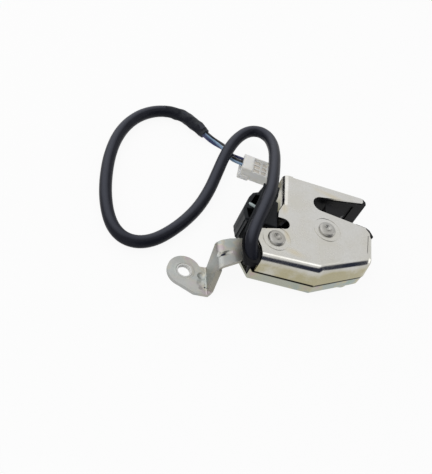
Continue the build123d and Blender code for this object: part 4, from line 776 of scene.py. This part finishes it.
class LATCH_OT_lead(bpy.types.Operator):
    """Sleeve, wires and the contacts in the connector"""

    bl_idname = "latch.lead"
    bl_label = "Lead"

    def execute(self, context):
        tones = context.scene.latch_colours
        sizes = context.scene.latch_lead
        rubber = finish(
            "sleeve_finish", "moulding", {"Tone": tuple(tones.sleeve), "Worn Tone": (0.026, 0.028, 0.038)},
            {"Wear": 0.6, "Grain": 700.0, "Roughness": 0.33, "Bump": 0.16}, specular=0.07,
        )
        # painted highlight: a lighter tone on the sleeve's upward faces, where the lamps light it
        add_painted_sheen(rubber, (-0.38, 0.05, 0.92), 0.80, 1.0, (0.064, 0.068, 0.086))
        sleeve = route_curve("sleeve", SLEEVE_ROUTE, sizes.sleeve / 2, rubber)
        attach(sleeve, "lock_body")
        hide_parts("cord_sleeve")
        wrap = self.wrap(sizes.sleeve / 2, tuple(tones.sleeve))
        shoulders = self.contacts(finish(
            "crimp_finish", "plating", {"Zinc": (0.88, 0.86, 0.82), "Cast": (0.74, 0.66, 0.54)},
            {"Cast Amount": 0.8, "Roughness": 0.45, "Bump": 0.04},
        ))
        tone = {-1: (0.22, 0.34, 0.50), 0: (0.010, 0.010, 0.012), 1: (0.012, 0.020, 0.11)}
        for node, slot, step, length in WIRES:
            cover = finish(
                f"{slot}_finish", "moulding", {"Tone": tone[step], "Worn Tone": (0.3, 0.3, 0.35)},
                {"Wear": 0.1, "Grain": 900.0, "Roughness": 0.35, "Bump": 0.1},
            )
            route = wire_route(node, step)
            wire = route_curve(f"{node}_lay", route, sizes.wire / 2, cover)
            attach(wire, "lock_body")
            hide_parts(node)
        return {"FINISHED"}

    def contacts(self, material):
        """Folded contact shoulders that nearly fill the connector's channels."""
        shape = bmesh.new()
        bevel_in, bevel_down = CONTACT_BEVEL
        for across in CHANNELS:
            rings = []
            for depth, low in CONTACT_PROFILE:
                top = CONTACT_CROWN - low
                section = (
                    (-CONTACT_HALF, CONTACT_FOOT), (CONTACT_HALF, CONTACT_FOOT), (CONTACT_HALF, top - bevel_down),
                    (CONTACT_HALF - bevel_in, top), (bevel_in - CONTACT_HALF, top), (-CONTACT_HALF, top - bevel_down),
                )
                rings.append([connector_place(depth, across + side, height) for side, height in section])
            part = tube_mesh(rings)
            held = bpy.data.meshes.new("held")
            part.to_mesh(held)
            part.free()
            shape.from_mesh(held)
            bpy.data.meshes.remove(held)
        piece = new_piece("contact_shoulders", shape, material)
        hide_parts("connector_crimps")
        return piece

    def wrap(self, radius, tone):
        """Tape wound tightly over the sleeve's end, creased and drawn in towards the wires."""
        tape = finish(
            "tape_finish", "moulding", {"Tone": tone, "Worn Tone": (0.075, 0.080, 0.085)},
            {"Grain": 260.0, "Roughness": 0.36, "Bump": 0.26}, specular=0.07,
        )
        tree = tape.node_tree
        worn = remap(tree, coordinate(tree, "X"), -0.099, -0.088, 0.1, 1.0)
        link(tree, worn, tree.nodes["surface"].inputs["Wear"])
        line = spline_points(SLEEVE_ROUTE)
        line.reverse()
        heading = (line[0] - line[1]).normalized()
        line.insert(0, line[0] + heading * WRAP_PROUD)
        rings = []
        walked = 0.0
        step_at = 0.0
        for here, after in zip(line, line[1:]):
            walked += (after - here).length
            if walked < step_at or walked > WRAP_LONG:
                continue
            step_at += WRAP_STEP
            along = (here - after).normalized()
            across = Vector((-along.y, along.x, 0.0)).normalized()
            up = along.cross(across) * -1.0
            near = min(walked / WRAP_NECK, 1.0)
            far = min((WRAP_LONG - walked) / WRAP_FADE, 1.0)
            ring = []
            for turn in range(WRAP_SIDES):
                angle = math.tau * turn / WRAP_SIDES
                # two twisted waves round the tape crease it, and fade out towards both of its ends
                crease = 0.055 * math.sin(3.0 * angle + walked * 520.0) + 0.035 * math.sin(5.0 * angle - walked * 900.0)
                wide = radius * (0.86 + 0.26 * near * (0.25 + 0.75 * far) + crease * near * far)
                tall = radius * (0.70 + 0.28 * near + 0.04 * far + crease * near * far)
                if far < 1.0:
                    wide = max(wide, radius * 1.01 - 0.0002 * (1 - near))
                    tall = max(tall, radius * 1.01 - 0.0002 * (1 - near))
                ring.append(here + across * (wide * math.cos(angle)) + up * (tall * math.sin(angle)))
            rings.append(ring)
        return new_piece("end_wrap", tube_mesh(rings), tape, angle=70.0)


class LATCH_OT_metals(bpy.types.Operator):
    """Finishes of the steel pieces"""

    bl_idname = "latch.metals"
    bl_label = "Steel finishes"

    def execute(self, context):
        tones = context.scene.latch_colours
        front = finish(
            "front_zinc_finish", "plating", {"Zinc": tuple(tones.zinc), "Cast": tuple(tones.passivation)},
            {"Roughness": 0.24, "Bump": 0.045}, metallic=1.0,
        )
        # the plating's real yellow cast, raised on the skirt as a painted reflection of grazing light
        add_cast_and_painted_reflection_by_height(front, 0.0185, 0.0225, 0.34, 1.5)
        dress(["front_shell"], front)
        add_stains_and_painted_shade(front, PLATE_STAINS, (0.55, 0.45, 0.24), 0.9, 0.35)
        # painted reflection: dark navy streaks on the ear's bend, standing for the dark surround it mirrors
        add_stains_and_painted_shade(front, EAR_DARK_REFLECTIONS, (0.06, 0.06, 0.10))
        edge = front.copy()
        edge.name = "front_edge_finish"
        edge.node_tree.nodes["surface"].inputs["Roughness"].default_value = 0.17
        # painted shade along the joint's gap at the rolled edge's foot
        add_joint_shade(edge, *FRONT_JOINT_SHADE)
        self.rolled_edge(edge)
        back = finish(
            "back_zinc_finish", "plating", {"Zinc": tuple(tones.back_zinc), "Cast": (0.40, 0.38, 0.30)},
            {"Cast Amount": 0.5, "Roughness": 0.26, "Bump": 0.06}, metallic=1.0,
        )
        add_bloom(back, 95.0, 1.0)
        # painted shade along the joint's gap at the top of the back plate's flange
        add_joint_shade(back, *BACK_JOINT_SHADE)
        dress(["back_plate"], back)
        lever = finish(
            "lever_zinc_finish", "plating", {"Zinc": tuple(tones.lever), "Cast": (0.32, 0.315, 0.30)},
            {"Cast Amount": 0.5, "Roughness": 0.42, "Bump": 0.08}, metallic=0.9,
        )
        add_bloom(lever, 120.0, 0.45)
        add_dents(lever, LEVER_DENTS, 0.0010)
        add_cut_edge(lever, ((0.80, -0.60, 0.0), (0.15, -0.80, 0.58)), (0.46, 0.44, 0.37))
        # painted shade: navy-black in the creases of the lever's dents
        add_stains_and_painted_shade(lever, LEVER_CREASE_SHADE, (0.012, 0.014, 0.032))
        dress(["release_lever"], lever)
        self.eye_ring(lever)
        dress(["claw_rivet", "pawl_rivet"], finish(
            "rivet_finish", "plating", {"Zinc": tuple(tones.rivet), "Cast": (0.30, 0.28, 0.24)},
            {"Cast Amount": 0.5, "Roughness": 0.38, "Bump": 0.08}, metallic=1.0,
        ))
        dress(["claw", "pawl", "claw_washer", "pawl_washer"], finish(
            "hard_steel_finish", "plating", {"Zinc": (0.42, 0.42, 0.43), "Cast": (0.26, 0.24, 0.22)},
            {"Cast Amount": 0.6, "Roughness": 0.34, "Bump": 0.10}, metallic=1.0,
        ))
        dress(["claw_spring", "lever_spring"], finish(
            "spring_finish", "plating", {"Zinc": (0.34, 0.34, 0.36), "Cast": (0.2, 0.2, 0.2)},
            {"Cast Amount": 0.4, "Roughness": 0.30, "Bump": 0.05}, metallic=1.0,
        ))
        dress(["switch_terminals", "connector_blades"], finish(
            "contact_finish", "plating", {"Zinc": (0.70, 0.62, 0.46), "Cast": (0.55, 0.40, 0.24)},
            {"Cast Amount": 0.5, "Roughness": 0.30, "Bump": 0.04}, metallic=1.0,
        ))
        return {"FINISHED"}

    def rolled_edge(self, material):
        """Generous bend of the front shell's lower edge, over the plain one of the frame."""
        radii = (0.0, SKIRT_V, SKIRT_CORNER, 0.0)
        upper = rounded_line([corner for corner, _, _, _ in SKIRT], radii)
        lower = rounded_line([foot for _, foot, _, _ in SKIRT], radii)
        stations = []
        for index in range(len(upper) - 1):
            # a few stations between the rounded corners keep the strip even
            count = 8 if (upper[index + 1][0] - upper[index][0]).length > 6.0 else 1
            for step in range(count):
                share = step / count
                stations.append(tuple(
                    (line[index][0].lerp(line[index + 1][0], share),
                     line[index][1] + (line[index + 1][1] - line[index][1]) * share)
                    for line in (upper, lower)
                ))
        stations.append((upper[-1], lower[-1]))
        rings = []
        for index, ((top, along), (foot, _)) in enumerate(stations):
            nearby = [stations[min(max(index + step, 0), len(stations) - 1)][0][0] for step in (-1, 1)]
            run = (nearby[1] - nearby[0]).normalized()
            outward = Vector((run.y, -run.x))
            drop = max((foot - top).dot(outward), 0.3)
            side = (foot - top).dot(run)
            leg = min(int(along), len(SKIRT) - 2)
            share = along - leg
            corner = SKIRT[leg][2] * (1 - share) + SKIRT[leg + 1][2] * share
            radius = SKIRT[leg][3] * (1 - share) + SKIRT[leg + 1][3] * share
            rings.append(self.edge_section(top, outward, run, drop, side, corner, radius))
        new_piece("rolled_edge", tube_mesh(rings), material, angle=50.0)

    def edge_section(self, top, outward, run, drop, side, corner, radius):
        """Closed section of the bend at one station: outer face first, then the way back inside the shell."""
        level = PLATE_Z + EDGE_PROUD
        foot = drop + FOOT_PROUD
        lean = math.atan2(level - SKIRT_Z, foot - corner)
        cut = radius * math.tan(lean / 2)
        points = [(-EDGE_LAP, level), (min(corner - cut - 0.3, -0.6), level)]
        for step in range(13):
            angle = lean * step / 12
            points.append((corner - cut + radius * math.sin(angle), level - radius * (1 - math.cos(angle))))
        points += [
            (foot, SKIRT_Z), (foot - FOOT_THICK, SKIRT_Z), (-1.0, PLATE_Z - 1.2), (-EDGE_LAP, PLATE_Z - 0.6),
        ]
        ring = []
        for out, z in points:
            slide = side * min(max((PLATE_Z - z) / (PLATE_Z - SKIRT_Z), 0.0), 1.0)
            place = top + outward * out + run * slide
            ring.append(Vector((place.x, place.y, z)) * MM)
        return ring

    def eye_ring(self, material):
        """Turned-in rim of the lever's eye, round its bush."""
        new_piece("eye_ring", turned(EYE, RIM_PROFILE), material, body="release_lever")


class LATCH_OT_plastics(bpy.types.Operator):
    """Finishes of the plastic and rubber pieces"""

    bl_idname = "latch.plastics"
    bl_label = "Plastic finishes"

    def execute(self, context):
        tones = context.scene.latch_colours
        dress(["guide_housing", "cord_gland", "switch_body", "claw_cover"], finish(
            "black_plastic_finish", "moulding", {"Tone": tuple(tones.plastic), "Worn Tone": (0.018, 0.018, 0.021)},
            {"Wear": 0.5, "Grain": 1500.0, "Roughness": 0.40, "Bump": 0.2}, specular=0.12,
        ))
        housing = finish(
            "housing_finish", "moulding", {"Tone": tuple(tones.housing), "Worn Tone": (0.045, 0.048, 0.052)},
            {"Wear": 0.6, "Grain": 1100.0, "Roughness": 0.38, "Bump": 0.2}, specular=0.07,
        )
        dress(["switch_housing"], housing)
        self.housing_floor(housing)
        pale = finish(
            "inner_lead_finish", "moulding", {"Tone": (0.36, 0.43, 0.43), "Worn Tone": (0.24, 0.28, 0.28)},
            {"Wear": 0.4, "Grain": 900.0, "Roughness": 0.40, "Bump": 0.1},
        )
        lead = route_curve("bar_lead", BAR_LEAD, BAR_LEAD_RADIUS, pale)
        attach(lead, "lock_body")
        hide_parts("inner_lead")
        nylon = finish(
            "white_nylon_finish", "moulding", {"Tone": tuple(tones.nylon), "Worn Tone": (0.62, 0.60, 0.54)},
            {"Wear": 0.3, "Grain": 900.0, "Roughness": 0.42, "Bump": 0.08},
        )
        bush = new_piece("eye_bush", turned(EYE, BUSH_PROFILE), nylon, body="release_lever")
        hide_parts("lever_bush")
        dress(["connector_body", "switch_plunger"], finish(
            "ivory_nylon_finish", "moulding", {"Tone": tuple(tones.ivory), "Worn Tone": (0.76, 0.73, 0.66)},
            {"Wear": 0.3, "Grain": 900.0, "Roughness": 0.40, "Bump": 0.08}, see_through=0.4,
        ))
        dress(["striker_buffer"], finish(
            "rubber_finish", "moulding", {"Tone": (0.012, 0.012, 0.012), "Worn Tone": (0.04, 0.04, 0.04)},
            {"Wear": 0.4, "Grain": 600.0, "Roughness": 0.7, "Bump": 0.3},
        ))
        return {"FINISHED"}

    def housing_floor(self, material):
        """Web across the switch housing, under the switch."""
        rings = [[Vector((x, y, height)) * MM for x, y in HOUSING_FLOOR] for height in HOUSING_FLOOR_Z]
        new_piece("housing_floor", tube_mesh(rings), material)


class LATCH_PT_panel(bpy.types.Panel):
    """Latch tools"""

    bl_idname = "LATCH_PT_panel"
    bl_label = "Door latch"
    bl_space_type = "VIEW_3D"
    bl_region_type = "UI"
    bl_category = "Latch"

    def draw(self, context):
        column = self.layout.column(align=True)
        for step in STEPS:
            column.operator(step.bl_idname)
        for settings in (context.scene.latch_lead, context.scene.latch_colours, context.scene.latch_studio):
            box = self.layout.box()
            for label in settings.bl_rna.properties.keys():
                if label not in {"rna_type", "name"}:
                    box.prop(settings, label)


STEPS = (LATCH_OT_stage, LATCH_OT_lead, LATCH_OT_metals, LATCH_OT_plastics)
SETTINGS = (LatchLead, LatchColours, LatchStudio)


def register():
    """Register the settings, the steps and the panel."""
    for item in (*SETTINGS, *STEPS, LATCH_PT_panel):
        bpy.utils.register_class(item)
    bpy.types.Scene.latch_lead = bpy.props.PointerProperty(type=LatchLead)
    bpy.types.Scene.latch_colours = bpy.props.PointerProperty(type=LatchColours)
    bpy.types.Scene.latch_studio = bpy.props.PointerProperty(type=LatchStudio)


def unregister():
    """Take them out again."""
    del bpy.types.Scene.latch_studio
    del bpy.types.Scene.latch_colours
    del bpy.types.Scene.latch_lead
    for item in reversed((*SETTINGS, *STEPS, LATCH_PT_panel)):
        bpy.utils.unregister_class(item)


def main():
    """Run every step in order."""
    register()
    bpy.ops.latch.stage()
    bpy.ops.latch.lead()
    bpy.ops.latch.metals()
    bpy.ops.latch.plastics()


if __name__ == "__main__":
    main()
